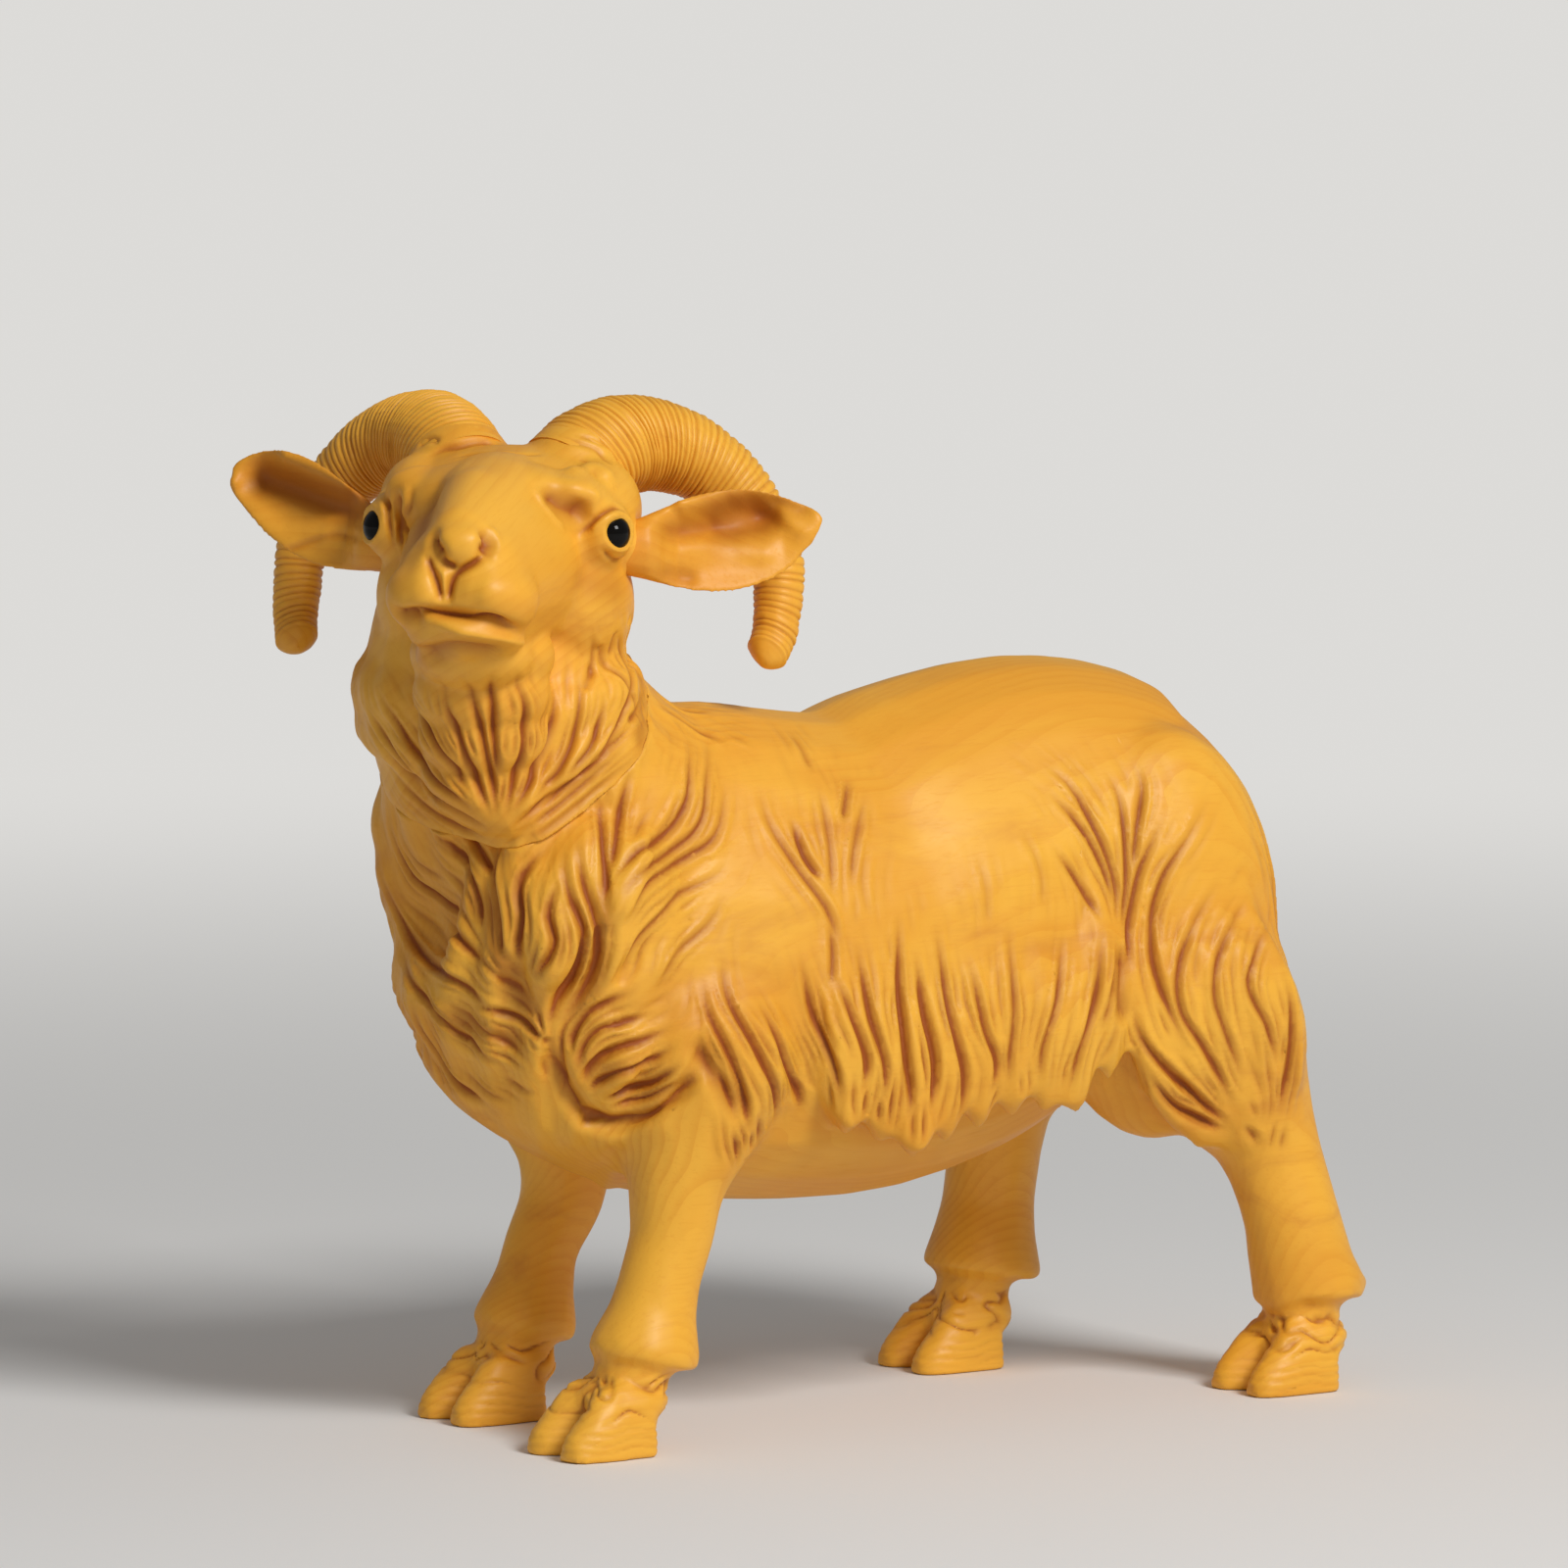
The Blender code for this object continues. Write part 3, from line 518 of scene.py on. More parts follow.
def saw_off(item, side):
    """Saws the piece off flat at the joint and closes the cut."""
    mesh = bmesh.new()
    mesh.from_mesh(item.data)
    at = Vector((JOINT + JOINT_AXIS * side * JOINT_GAP / 2) * MM)
    bmesh.ops.bisect_plane(mesh, geom=mesh.verts[:] + mesh.edges[:] + mesh.faces[:], dist=1e-7,
                           plane_co=at, plane_no=Vector(JOINT_AXIS) * -side, clear_outer=True)
    edges = [edge for edge in mesh.edges if edge.is_boundary]
    bmesh.ops.triangle_fill(mesh, edges=edges, use_beauty=True, use_dissolve=False)
    bmesh.ops.recalc_face_normals(mesh, faces=mesh.faces)
    mesh.to_mesh(item.data)
    mesh.free()
    item.data.shade_smooth()


def dress_joint(places, outline, reach_back=9.0):
    """Brings the skin next to the joint to the shared outline."""
    own = rim_of(places, 0.3)
    height, turn, reach = round_joint(places)
    ratio = np.interp(turn, TURNS, outline / own, period=2 * math.pi)
    share = np.interp(turn, TURNS, own, period=2 * math.pi)
    near = eased(np.clip(1 - np.abs(height) / reach_back, 0, 1)) * np.clip((reach / share - 0.5) / 0.35, 0, 1)
    near *= reach < share + 9
    middle = JOINT + np.outer(height, JOINT_AXIS)
    return middle + (places - middle) * (1 + (ratio - 1) * near)[:, None]


def corners_of(node):
    """The corners of a CAD node, in millimetres."""
    return np.array([vertex.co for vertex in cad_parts[node].data.vertices], float) / MM


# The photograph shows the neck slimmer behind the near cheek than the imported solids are
SLIMMER, SLIMMER_AT, SLIMMER_SPREAD = 1.5, math.radians(145), math.radians(32)
neck_outline = (rim_of(corners_of("head"), JOINT_BAND) + rim_of(corners_of("body"), JOINT_BAND)) / 2
neck_outline -= SLIMMER * np.exp(-((TURNS - SLIMMER_AT) / SLIMMER_SPREAD) ** 2)

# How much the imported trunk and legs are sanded, by height: crisp coronets and bells, smooth coat
SANDED_HEIGHTS = (0, 6, 8.5, 12.5, 16.5, 30, 33.5, 38, 44, 150)
SANDED_SHARES = (0.35, 0.3, 0.1, 0.12, 0.9, 0.9, 0.4, 0.4, 1, 1)

blank = weld("body")
leave_long(blank, -1)
body = put("body_carving", blank)
melt(body, voxel=0.30, passes=6)
sand_where(body, np.interp(read(body)[0][:, 2], SANDED_HEIGHTS, SANDED_SHARES), passes=60)
saw_off(body, -1)
write(body, dress_joint(read(body)[0], neck_outline))

BODY_MIDDLE = 3.155


def across_body(tree, places, ways):
    """The same places and ways on the other side of the body."""
    flip = np.array((-1, 1, 1))
    return onto(tree, places * flip + (2 * BODY_MIDDLE, 0, 0)), ways * flip


def from_behind(across, height):
    """A sight line along the body from behind, by its place across the body and its height."""
    return Vector((BODY_MIDDLE + across, 200, height)) * MM, Vector((0, -1, 0))


def round_neck(turn, height):
    """A sight line in towards the neck, by its turn round the joint and its height over it."""
    way = math.cos(math.radians(turn)) * JOINT_AHEAD + math.sin(math.radians(turn)) * JOINT_ASIDE
    return Vector(JOINT + JOINT_AXIS * height + way * 40) * MM, Vector(-way)


# Locks that swell or part: width, height, then the path in the photograph
LOCKS_EACH_SIDE = (
    # the hollow behind the elbow
    (1.3, -1.2, (710, 1050), (720, 1082), (742, 1113), (760, 1148)),
    # the fold between the fringe and the haunch
    (1.5, -0.9, (1148, 960), (1146, 1010), (1150, 1050)),
)
LOCKS_OF_CHEST = (
    # the curl over the front leg with a deep edge under it
    (2.8, 1.1, (640, 1035), (628, 1060), (636, 1085), (652, 1098)),
    (1.2, -1.7, (572, 1040), (564, 1062), (567, 1090), (578, 1115), (596, 1138), (625, 1147), (660, 1137),
     (690, 1119), (712, 1092), (718, 1062)),
    # the tuft in the middle and the locks beside it
    (2.8, 0.8, (548, 870), (545, 930), (555, 975), (563, 1015)),
    (1.9, -0.7, (500, 880), (498, 945), (510, 985), (530, 1015), (548, 1045), (556, 1068)),
    (1.4, -0.7, (613, 880), (617, 950), (605, 1000), (584, 1032), (566, 1062)),
    (2.0, -0.6, (430, 1020), (470, 1042), (515, 1058), (552, 1076)),
)
# Lobes of the fringe that hang lower and lean out: place in the photograph, drop, breadth
LOBE_LEAN = 0.25
LOBES = ((936, 1148, 2.3, 3.0), (868, 1138, 1.0, 1.6), (1085, 1120, 0.8, 2.0), (1045, 1112, 0.6, 1.4))
# The far side of the chest, where the photograph shows flat locks: its place and breadth
FLAT_CHEST, FLAT_BREADTH = (448, 952), 8.0
# The tail and the backs of the haunches, as seen from behind: across and height, with depths for the cuts
TAIL_RIDGE = ((0, 78), (0, 66), (0, 54))
REAR = (
    (1.1, (3.4, 75), (4.4, 68), (4.6, 60), (3.2, 51), (1.0, 46)),
    (0.6, (1.2, 75), (1.5, 68), (1.6, 58), (0.4, 49)),
    (0.6, (7.5, 78), (9.0, 72), (9.5, 64), (8.5, 56)),
    (0.7, (12, 78), (14, 70), (14.5, 60), (13, 50), (12, 42)),
    (0.7, (17, 76), (18.5, 66), (18.5, 54), (16.5, 44), (15, 36)),
)
# The hair behind the neck: depth, then turn round the joint and height over it
NAPE_BELOW = tuple((0.35, (turn, -0.4), (turn + 3, -5), (turn, -10)) for turn in (150, 165, 180, 195, 210))
# Grooming passes, coarse then fine: pitch, share of the depth, width, shortest and longest
COAT_PASSES = ((3.4, 0.95, 0.60, 12, 28), (1.25, 0.55, 0.42, 8, 20))

places, normals = read(body)
cut = np.zeros(len(places))
skin_tree = skin_of(body)
stroke(places, normals, cut, on_skin(skin_tree, TAIL_RIDGE, from_behind), 2.2, 0.8)
for width, height, *spots in LOCKS_OF_CHEST:
    stroke(places, normals, cut, on_skin(skin_tree, spots), width, height)
for width, height, *spots in LOCKS_EACH_SIDE:
    path = np.array(on_skin(skin_tree, spots))
    stroke(places, normals, cut, path, width, height)
    stroke(places, normals, cut, across_body(skin_tree, path, path)[0], width, FAR_DEPTH * height)
for column, row, drop, breadth in LOBES:
    for place in on_skin(skin_tree, [(column, row)]):
        places += np.outer(bell(places - place, breadth), (LOBE_LEAN * drop, 0, -drop))
write(body, places)
flat = np.array(on_skin(skin_tree, [FLAT_CHEST])[0])
sand_where(body, bell(places - flat, FLAT_BREADTH), passes=500)
places, normals = read(body)
skin_tree = skin_of(body)

coat = guides_on(skin_tree, COAT) + guides_on(skin_tree, NAPE_BELOW, round_neck)
for side in (-1, 1):
    rear = [(depth, *[(side * across, height) for across, height in spots]) for depth, *spots in REAR]
    coat += guides_on(skin_tree, rear, from_behind)
lines = groom(skin_tree, flow_of(skin_tree, coat, across_body),
              guide_cuts(skin_tree, coat, width=0.64, share=1.1),
              seeds=places[::7], passes=COAT_PASSES, chance=np.random.default_rng(4), reach=4.5)
cut_lines(places, normals, cut, lines, swell=0.25)

# Hooves: the middle of each sole on the floor, then how high the horn wall and the coronet reach
SOLES = ((18.15, -39.8), (-11.85, -36.6), (21.65, 56.2), (-15.35, 31.9))
WALL_TOP, CORONET_TOP = 4.4, 9.6
FOLD_DEPTH, GROWTH_DEPTH, GROWTH_PITCH = 0.55, 0.14, 1.05
HOOF_REACH = 10.5


def ramp(value, over):
    """A share that rises from 0 to 1 as the value goes from 0 to a limit."""
    return min(1, max(0, value / over))


def hoof_wrinkles(places, normals, cut):
    """Cloth-like folds on the coronet and fine growth rings on the horn below it."""
    for across, along in SOLES:
        away = places - (across, along + 1.8, 0)
        near = (np.hypot(away[:, 0], away[:, 1]) < HOOF_REACH) & (places[:, 2] < CORONET_TOP + 2)
        for index in np.nonzero(near)[0]:
            left, back, height = away[index]
            turn = math.atan2(left, -back)
            facing = abs(normals[index][2])
            wander = noise.noise(Vector((turn * 1.3, across, along))) * 2.0
            wave = noise.noise(Vector((turn * 1.1 + across, (height + wander) * 0.62, along)))
            fold = max(0.0, 1 - abs(wave) * 4.2) ** 1.2
            fold *= ramp(height - WALL_TOP + wander * 0.3, 1.2) * ramp(CORONET_TOP - height, 0.8)
            ring = (0.5 + 0.5 * math.sin((height + 0.5 * wander) * 2 * math.pi / GROWTH_PITCH)) ** 3
            ring *= ramp(WALL_TOP + 0.4 - height, 1.0) * ramp(height - 0.5, 0.8) * (1 - facing)
            places[index] -= normals[index] * (FOLD_DEPTH * fold * (1 - facing * 0.6) + GROWTH_DEPTH * ring)
            # Folds and rings are noted for wax and painted shade in the colour
            cut[index] = max(cut[index], 0.55 * fold + 0.2 * ring)


hoof_wrinkles(places, normals, cut)
write(body, places)


def hollows(item, passes, deepest):
    """How far each place lies under the skin around it, where wax and painted shade darken the wood."""
    sanded = put("sanded", item.data.copy())
    sand(sanded, passes)
    places, normals = read(item)
    under = np.sum((read(sanded)[0] - places) * normals, axis=1)
    bpy.data.objects.remove(sanded)
    return np.clip(under / deepest, -1, 1)


note(body, "cut", cut)
note(body, "hollow", hollows(body, passes=40, deepest=0.30))
thin(body)

# Boxwood fresh from the tool, where it has darkened, along its rosy streaks, and under old wax and painted
# shade in the cuts and hollows
BOXWOOD_PALE = (0.85, 0.43, 0.040, 1)
BOXWOOD_WARM = (0.70, 0.26, 0.012, 1)
BOXWOOD_ROSE = (0.54, 0.17, 0.020, 1)
BOXWOOD_WAX_AND_SHADE = (0.30, 0.062, 0.003, 1)


def feed(node, feeds):
    """Gives a node its inputs, by name or number. Another node stands for its first output."""
    for slot, value in dict(feeds).items():
        if isinstance(value, bpy.types.Node):
            value = value.outputs[0]
        if isinstance(value, bpy.types.NodeSocket):
            node.id_data.links.new(value, node.inputs[slot])
        else:
            node.inputs[slot].default_value = value
    return node


def nodes_in(tree):
    """Three makers for a node tree: of nodes of any kind, of sums, and of products."""
    def add(kind, feeds=(), **settings):
        node = tree.nodes.new(kind)
        for name, value in settings.items():
            setattr(node, name, value)
        return feed(node, feeds)

    def sums(kind, *values, clamp=False):
        return add("ShaderNodeMath", enumerate(values), operation=kind, use_clamp=clamp).outputs[0]

    def times(*values):
        return sums("MULTIPLY", *values)
    return add, sums, times


def sockets(tree, side, *rows):
    """Opens inputs or outputs on a node group: name, kind and the value to start from."""
    for name, kind, value in rows:
        socket = tree.interface.new_socket(name, in_out=side, socket_type="NodeSocket" + kind)
        if value is not None:
            socket.default_value = value


def surface(name, feeds=()):
    """A material, and its shader with the given inputs."""
    material = bpy.data.materials.new(name)
    material.use_nodes = True
    return material, feed(material.node_tree.nodes["Principled BSDF"], feeds)


def wood_figure():
    """The figure of boxwood: growth layers, fine vessels, rosy streaks, and wax and painted shade in the cuts
    and hollows.
    """
    tree = bpy.data.node_groups.new("boxwood_figure", "ShaderNodeTree")
    sockets(tree, "INPUT", ("Place", "Vector", None), ("Cut", "Float", 0), ("Hollow", "Float", 0),
            ("Layer Spacing", "Float", 1.1), ("Layer Strength", "Float", 0.5), ("Vessels", "Float", 0.5),
            ("Rose", "Float", 0.5), ("Pale", "Color", BOXWOOD_PALE), ("Warm", "Color", BOXWOOD_WARM),
            ("Rosy", "Color", BOXWOOD_ROSE), ("Wax and Shade", "Color", BOXWOOD_WAX_AND_SHADE))
    sockets(tree, "OUTPUT", ("Colour", "Color", None), ("Dullness", "Float", None), ("Relief", "Float", None))
    add, sums, times = nodes_in(tree)
    given = add("NodeGroupInput").outputs

    def spread(value, low, high):
        return add("ShaderNodeMapRange", {"Value": value, "From Min": low, "From Max": high},
                   interpolation_type="SMOOTHSTEP").outputs[0]

    def cloud(scale, detail, rough=0.5, warp=0.0, turn=(0, 0, 0)):
        stretched = add("ShaderNodeMapping", {"Vector": given["Place"], "Scale": scale, "Rotation": turn})
        return add("ShaderNodeTexNoise", {"Vector": stretched, "Scale": 1, "Detail": detail,
                                          "Roughness": rough, "Distortion": warp}).outputs[0]

    def blend(share, low, high):
        return add("ShaderNodeMix", {0: share, 6: low, 7: high}, data_type="RGBA").outputs[2]

    # Layers lie round a pith that runs along the block, far to one side of it
    east, _, high = add("ShaderNodeSeparateXYZ", {0: given["Place"]}).outputs
    sway = times(sums("SUBTRACT", cloud((60, 18, 60), 2), 0.5), 0.0042)
    reach = sums("SQRT", sums("ADD", sums("POWER", east, 2), sums("POWER", high, 2)))
    ring = sums("FRACT", sums("DIVIDE", sums("ADD", reach, sway), times(given["Layer Spacing"], MM)))
    late = times(spread(ring, 0.35, 0.98), sums("SUBTRACT", 1, spread(ring, 0.98, 1.0)))
    uneven = spread(cloud((90, 35, 90), 2), 0.3, 0.75)
    layer = times(times(late, uneven), given["Layer Strength"])
    # Vessels, broad darker areas and rosy streaks are all drawn out along the block
    vessel = times(spread(cloud((2600, 170, 2600), 3, 0.6), 0.50, 0.72), given["Vessels"])
    broad = spread(cloud((46, 20, 46), 4, 0.55, 0.4), 0.36, 0.66)
    streak = times(spread(cloud((130, 26, 130), 5, 0.6, 0.6, (0.2, 0.1, 0.15)), 0.54, 0.74), given["Rose"])
    # Wax and painted shade darken and warm the cuts and hollows, and handling pales what stands proud
    sunk, proud = spread(given["Hollow"], 0.0, 0.9), spread(given["Hollow"], 0.0, -0.8)
    dark = sums("ADD", times(given["Cut"], 0.62), times(sunk, 0.34), clamp=True)
    tone = given["Pale"]
    for share, colour in ((times(broad, 0.55), "Warm"), (layer, "Warm"), (times(streak, 0.62), "Rosy"),
                          (times(vessel, 0.34), "Warm"), (times(proud, 0.30), "Pale"),
                          (times(sunk, 0.50), "Warm"), (dark, "Wax and Shade")):
        tone = blend(share, tone, given[colour])
    dull = sums("ADD", sums("ADD", times(dark, 0.20), times(vessel, 0.10)), times(broad, 0.07))
    fine = sums("ADD", times(vessel, -0.5), times(late, 0.25))
    fine = sums("ADD", fine, times(cloud((700, 300, 700), 2), 0.5))
    add("NodeGroupOutput", {"Colour": tone, "Dullness": sums("ADD", dull, 0.43), "Relief": fine})
    return tree


def boxwood(name, middle, turn, spacing, layers, vessels, rose, pale=BOXWOOD_PALE):
    """Waxed boxwood, cut from a block whose pith lies at the given place and way."""
    material, shader = surface(name)
    add = nodes_in(material.node_tree)[0]
    block = add("ShaderNodeMapping", {"Vector": add("ShaderNodeTexCoord").outputs["Object"],
                                      "Location": Vector(middle) * MM,
                                      "Rotation": [math.radians(degrees) for degrees in turn]},
                vector_type="TEXTURE")
    cut, hollow = (add("ShaderNodeAttribute", attribute_name=word).outputs["Fac"]
                   for word in ("cut", "hollow"))
    figure = add("ShaderNodeGroup", {"Place": block, "Cut": cut, "Hollow": hollow, "Layer Spacing": spacing,
                                     "Layer Strength": layers, "Vessels": vessels, "Rose": rose,
                                     "Pale": pale}, node_tree=boxwood_figure)
    grain = add("ShaderNodeBump", {"Height": figure.outputs["Relief"], "Strength": 0.22, "Distance": 0.0001})
    feed(shader, {"Base Color": figure.outputs["Colour"], "Roughness": figure.outputs["Dullness"],
                  "Normal": grain, "Specular IOR Level": 0.32, "Coat Weight": 0.06, "Coat Roughness": 0.38})
    return material


boxwood_figure = wood_figure()
body.data.materials.clear()
body.data.materials.append(boxwood("body_wood", middle=(-60, 0, 62), turn=(0, 0, 4), spacing=1.05,
                                   layers=0.42, vessels=0.6, rose=0.6))
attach(body, "root")
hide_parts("body")

# Head
# Boxwood too, glued and dowelled to the neck under the ruff. Skull, muzzle and jaw are one block
# with the ruff; the lids, nostrils and mouth are cut with small gouges.
EYES_MIDDLE = np.array((9.555, -46.927, 108.8))
turned, raised, tilted = (Matrix.Rotation(math.radians(degrees), 3, axis)
                          for degrees, axis in ((47.8, "Z"), (-9.2, "X"), (0.9, "Y")))
HEAD_FRAME = np.array(turned @ raised @ tilted)


def face(left, ahead, up):
    """A place on the head in millimetres, from the point midway between the eyes."""
    return EYES_MIDDLE + HEAD_FRAME @ np.array((left, -ahead, up))


def add_ball(mesh, centre, radii):
    """Adds an egg of wood, turned with the head."""
    placed = (Matrix.Translation(Vector(centre) * MM) @ Matrix(HEAD_FRAME.tolist()).to_4x4()
              @ Matrix.Diagonal((*(Vector(radii) * MM), 1)))
    bmesh.ops.create_icosphere(mesh, subdivisions=4, radius=1, matrix=placed)


# The bead's middle and radius, the way that it looks out, and how far the lids open round it
BEAD_AT, BEAD_RADIUS = (13.6, 0.5, 0), 2.3
LID_OUT = (0.80, 0.60, 0.03)
LID_WIDE, LID_TALL = math.radians(60), math.radians(54)
LID_REACH, LID_THICK, LID_HEAVIER = 2.42, 0.42, 0.16
LID_STEPS, LID_CORNERS = 40, 8
# The socket is cleared to this radius, inside the lids' opening and out to the skin round them
SOCKET_RADIUS, SOCKET_REACH = 1.7, 4.6


def eye_frame(side):
    """The bead's middle and its axis, with the ways to its upper lid and its corner."""
    middle = face(side * BEAD_AT[0], *BEAD_AT[1:])
    out = unit(face(side * LID_OUT[0], *LID_OUT[1:]) - face(0, 0, 0))
    above = face(0, 0, 1) - face(0, 0, 0)
    above = unit(above - out * (above @ out))
    return middle, out, above, np.cross(above, out)


def add_lids(mesh, side):
    """A rim round the opening of the eye, heavier above."""
    middle, out, above, across = eye_frame(side)
    rings = []
    for step in range(LID_STEPS):
        turn = 2 * math.pi * step / LID_STEPS
        wide, tall = LID_WIDE * math.cos(turn), LID_TALL * math.sin(turn) * (1 - 0.12 * math.cos(turn) ** 2)
        way = out * math.cos(wide) * math.cos(tall) + across * math.sin(wide) + above * math.sin(tall)
        way = unit(way)
        along = unit(np.cross(way, out))
        beside = np.cross(along, way)
        thick = LID_THICK + LID_HEAVIER * max(0, math.sin(turn))
        ring = []
        for corner in range(LID_CORNERS):
            angle = 2 * math.pi * corner / LID_CORNERS
            place = middle + way * (LID_REACH + thick * math.cos(angle)) + beside * thick * math.sin(angle)
            ring.append(mesh.verts.new(place * MM))
        rings.append(ring)
    for ring, after in zip(rings, rings[1:] + rings[:1]):
        for corner in range(LID_CORNERS):
            other = (corner + 1) % LID_CORNERS
            mesh.faces.new((ring[corner], ring[other], after[other], after[corner]))


# Wood under the skin of the refined head: left, ahead and up from between the eyes, then radii.
# On each side: behind the eye, at the ear's root and at the horn's root
SIDE_WOOD = ((13.4, 0.2, 0, 2.6, 2.6, 2.6), (13.8, -6.8, -0.9, 3.4, 3.2, 3.2),
             (6.8, -10.8, 8.0, 6.2, 6.4, 6.2))
# In the middle: the skull, the brow, and the throat from the jaw down to the joint
MIDDLE_WOOD = ((-8.5, 2.2, 15.0, 12.0, 8.6), (1.0, 2.4, 11.5, 9.0, 6.0), (6.0, -15.0, 8.6, 6.8, 5.6),
               (5.4, -19.5, 8.2, 6.8, 5.6), (3.0, -24.0, 7.8, 6.8, 5.6), (-0.6, -28.5, 7.4, 6.8, 5.6))

blank = weld("head")
leave_long(blank, 1)
for side in (-1, 1):
    for left, ahead, up, *radii in SIDE_WOOD:
        add_ball(blank, face(side * left, ahead, up), radii)
for ahead, up, *radii in MIDDLE_WOOD:
    add_ball(blank, face(0, ahead, up), radii)
head = put("head_carving", blank)
melt(head, voxel=0.28, passes=40)
lids = bmesh.new()
lids.from_mesh(head.data)
for side in (-1, 1):
    add_lids(lids, side)
bmesh.ops.recalc_face_normals(lids, faces=lids.faces)
head.data.clear_geometry()
lids.to_mesh(head.data)
lids.free()
melt(head, voxel=0.25, passes=3)
places = read(head)[0]
for side in (-1, 1):
    middle, out, above, across = eye_frame(side)
    away = places - middle
    far = np.linalg.norm(away, axis=1)
    ways = away / far[:, None]
    wide = np.arctan2(ways @ across, np.maximum(ways @ out, 1e-3))
    tall = np.arcsin(np.clip(ways @ above, -1, 1))
    opening = np.sqrt((wide / LID_WIDE) ** 2 + (tall / LID_TALL) ** 2)
    inside = (far < SOCKET_REACH) & (ways @ out > 0.2)
    edge = np.clip((opening - 0.80) / 0.16, 0, 1) ** 2
    sunk = np.where(inside, np.minimum(far, SOCKET_RADIUS + (far - SOCKET_RADIUS) * edge), far)
    places = middle + ways * sunk[:, None]
write(head, places)
saw_off(head, 1)
places = dress_joint(read(head)[0], neck_outline)
write(head, places)
places, normals = read(head)
skin_tree = skin_of(head)
cut = np.zeros(len(places))

# Cuts and swellings of the face: width, height, then the path in the photograph
FACE = (
    # bridge of the nose, fuller on the side of the light
    (2.4, 0.55, (486, 474), (474, 500), (464, 525), (458, 545)),
    (2.6, -0.7, (446, 492), (434, 520), (424, 545), (420, 565)),
    # nostrils and the grooves from them down to the lip
    (1.0, -1.3, (497, 547), (500, 553), (496, 560)),
    (0.7, 0.25, (504, 543), (508, 553), (504, 563)),
    (0.5, -0.75, (499, 560), (486, 573), (471, 582), (463, 590), (459, 604), (458, 622)),
    (1.0, -1.3, (440, 547), (441, 555), (446, 563)),
    (0.55, -0.65, (445, 564), (454, 574), (462, 578)),
    (0.45, -0.6, (433, 562), (439, 577), (445, 591), (449, 605), (451, 619)),
    (0.45, 0.35, (449, 577), (454, 591), (455, 610)),
    # nose pad and lip pads
    (2.2, 0.3, (462, 553), (482, 550)),
    (2.3, 1.0, (483, 600), (494, 602)),
    (1.7, 0.7, (432, 594), (435, 606)),
    # mouth, lower lip and the hollow under it
    (0.75, -1.6, (408, 628), (430, 625), (455, 626), (480, 630), (505, 634), (533, 641)),
    (1.1, -1.3, (408, 629), (420, 630)),
    (0.8, 0.8, (438, 634), (460, 641), (490, 647), (518, 652), (535, 656)),
    (1.8, -1.2, (428, 668), (455, 665), (490, 667), (518, 670)),
    # hollow before the near eye, brow and lids
    (1.5, -1.4, (566, 506), (577, 516), (590, 523)),
    (0.7, 0.5, (548, 495), (556, 512), (568, 530), (580, 538)),
    (1.5, 0.9, (576, 485), (600, 481), (620, 489), (632, 503)),
    (0.9, 0.4, (608, 507), (603, 521)),
    (0.4, -0.5, (588, 548), (596, 541), (606, 531), (618, 522), (630, 517), (640, 524)),
    (0.5, 0.4, (600, 545), (612, 533), (626, 526), (637, 529)),
    (0.4, -0.4, (612, 556), (619, 566), (630, 573), (641, 568)),
    (2.6, -0.35, (600, 596), (630, 602)),
    # folds beside the far brow
    (1.6, 0.5, (402, 490), (414, 483), (430, 479)),
    (0.42, -0.5, (396, 490), (396, 515), (399, 540), (404, 566)),
    (0.42, -0.5, (408, 490), (409, 515), (408, 540), (409, 565)),
    (0.42, -0.4, (421, 492), (419, 515), (414, 540), (413, 556)),
    (0.5, 0.4, (390, 498), (391, 520), (395, 545)),
    (0.5, 0.45, (402, 492), (403, 520), (403, 548), (406, 562)),
    (0.6, 0.4, (415, 492), (414, 515), (411, 540)),
    # tufts at the horn roots and fine hair across the crown
    (0.5, -0.45, (425, 456), (438, 448), (450, 452)),
    (0.5, -0.45, (433, 466), (450, 459), (470, 455), (500, 452), (540, 454)),
    (0.45, -0.3, (455, 470), (480, 463), (520, 461), (560, 464)),
    (0.45, -0.3, (560, 451), (590, 452), (612, 462), (628, 478)),
    (0.45, -0.3, (580, 443), (605, 448), (628, 462), (642, 484)),
    (0.45, -0.25, (590, 468), (606, 472), (618, 480)),
    # dabs of short hair on the jaw
    (0.6, -0.4, (612, 662), (618, 676)),
    (0.6, -0.4, (628, 650), (624, 664)),
    (0.6, -0.4, (640, 668), (642, 684)),
    (0.6, -0.4, (603, 684), (598, 700)),
    (0.5, -0.4, (642, 634), (648, 650)),
    # the ruff's edge over the neck, meeting in a point under the chin
    (1.7, 0.6, (398, 732), (430, 775), (468, 808), (503, 830)),
    (1.7, 0.6, (516, 834), (550, 805), (590, 776), (622, 744)),
    (0.8, -0.9, (386, 748), (415, 790), (452, 822), (488, 843), (508, 851)),
    (0.8, -0.9, (511, 851), (545, 828), (585, 799), (620, 768), (645, 736)),
    (2.0, -0.5, (656, 690), (664, 720), (657, 750)),
)
for width, height, *pixels in FACE:
    path = on_skin(skin_tree, pixels)
    length = sum(np.linalg.norm(after - before) for before, after in zip(path, path[1:]))
    stroke(places, normals, cut, path, width, height, 0.25 if length > 5 * width else 0)

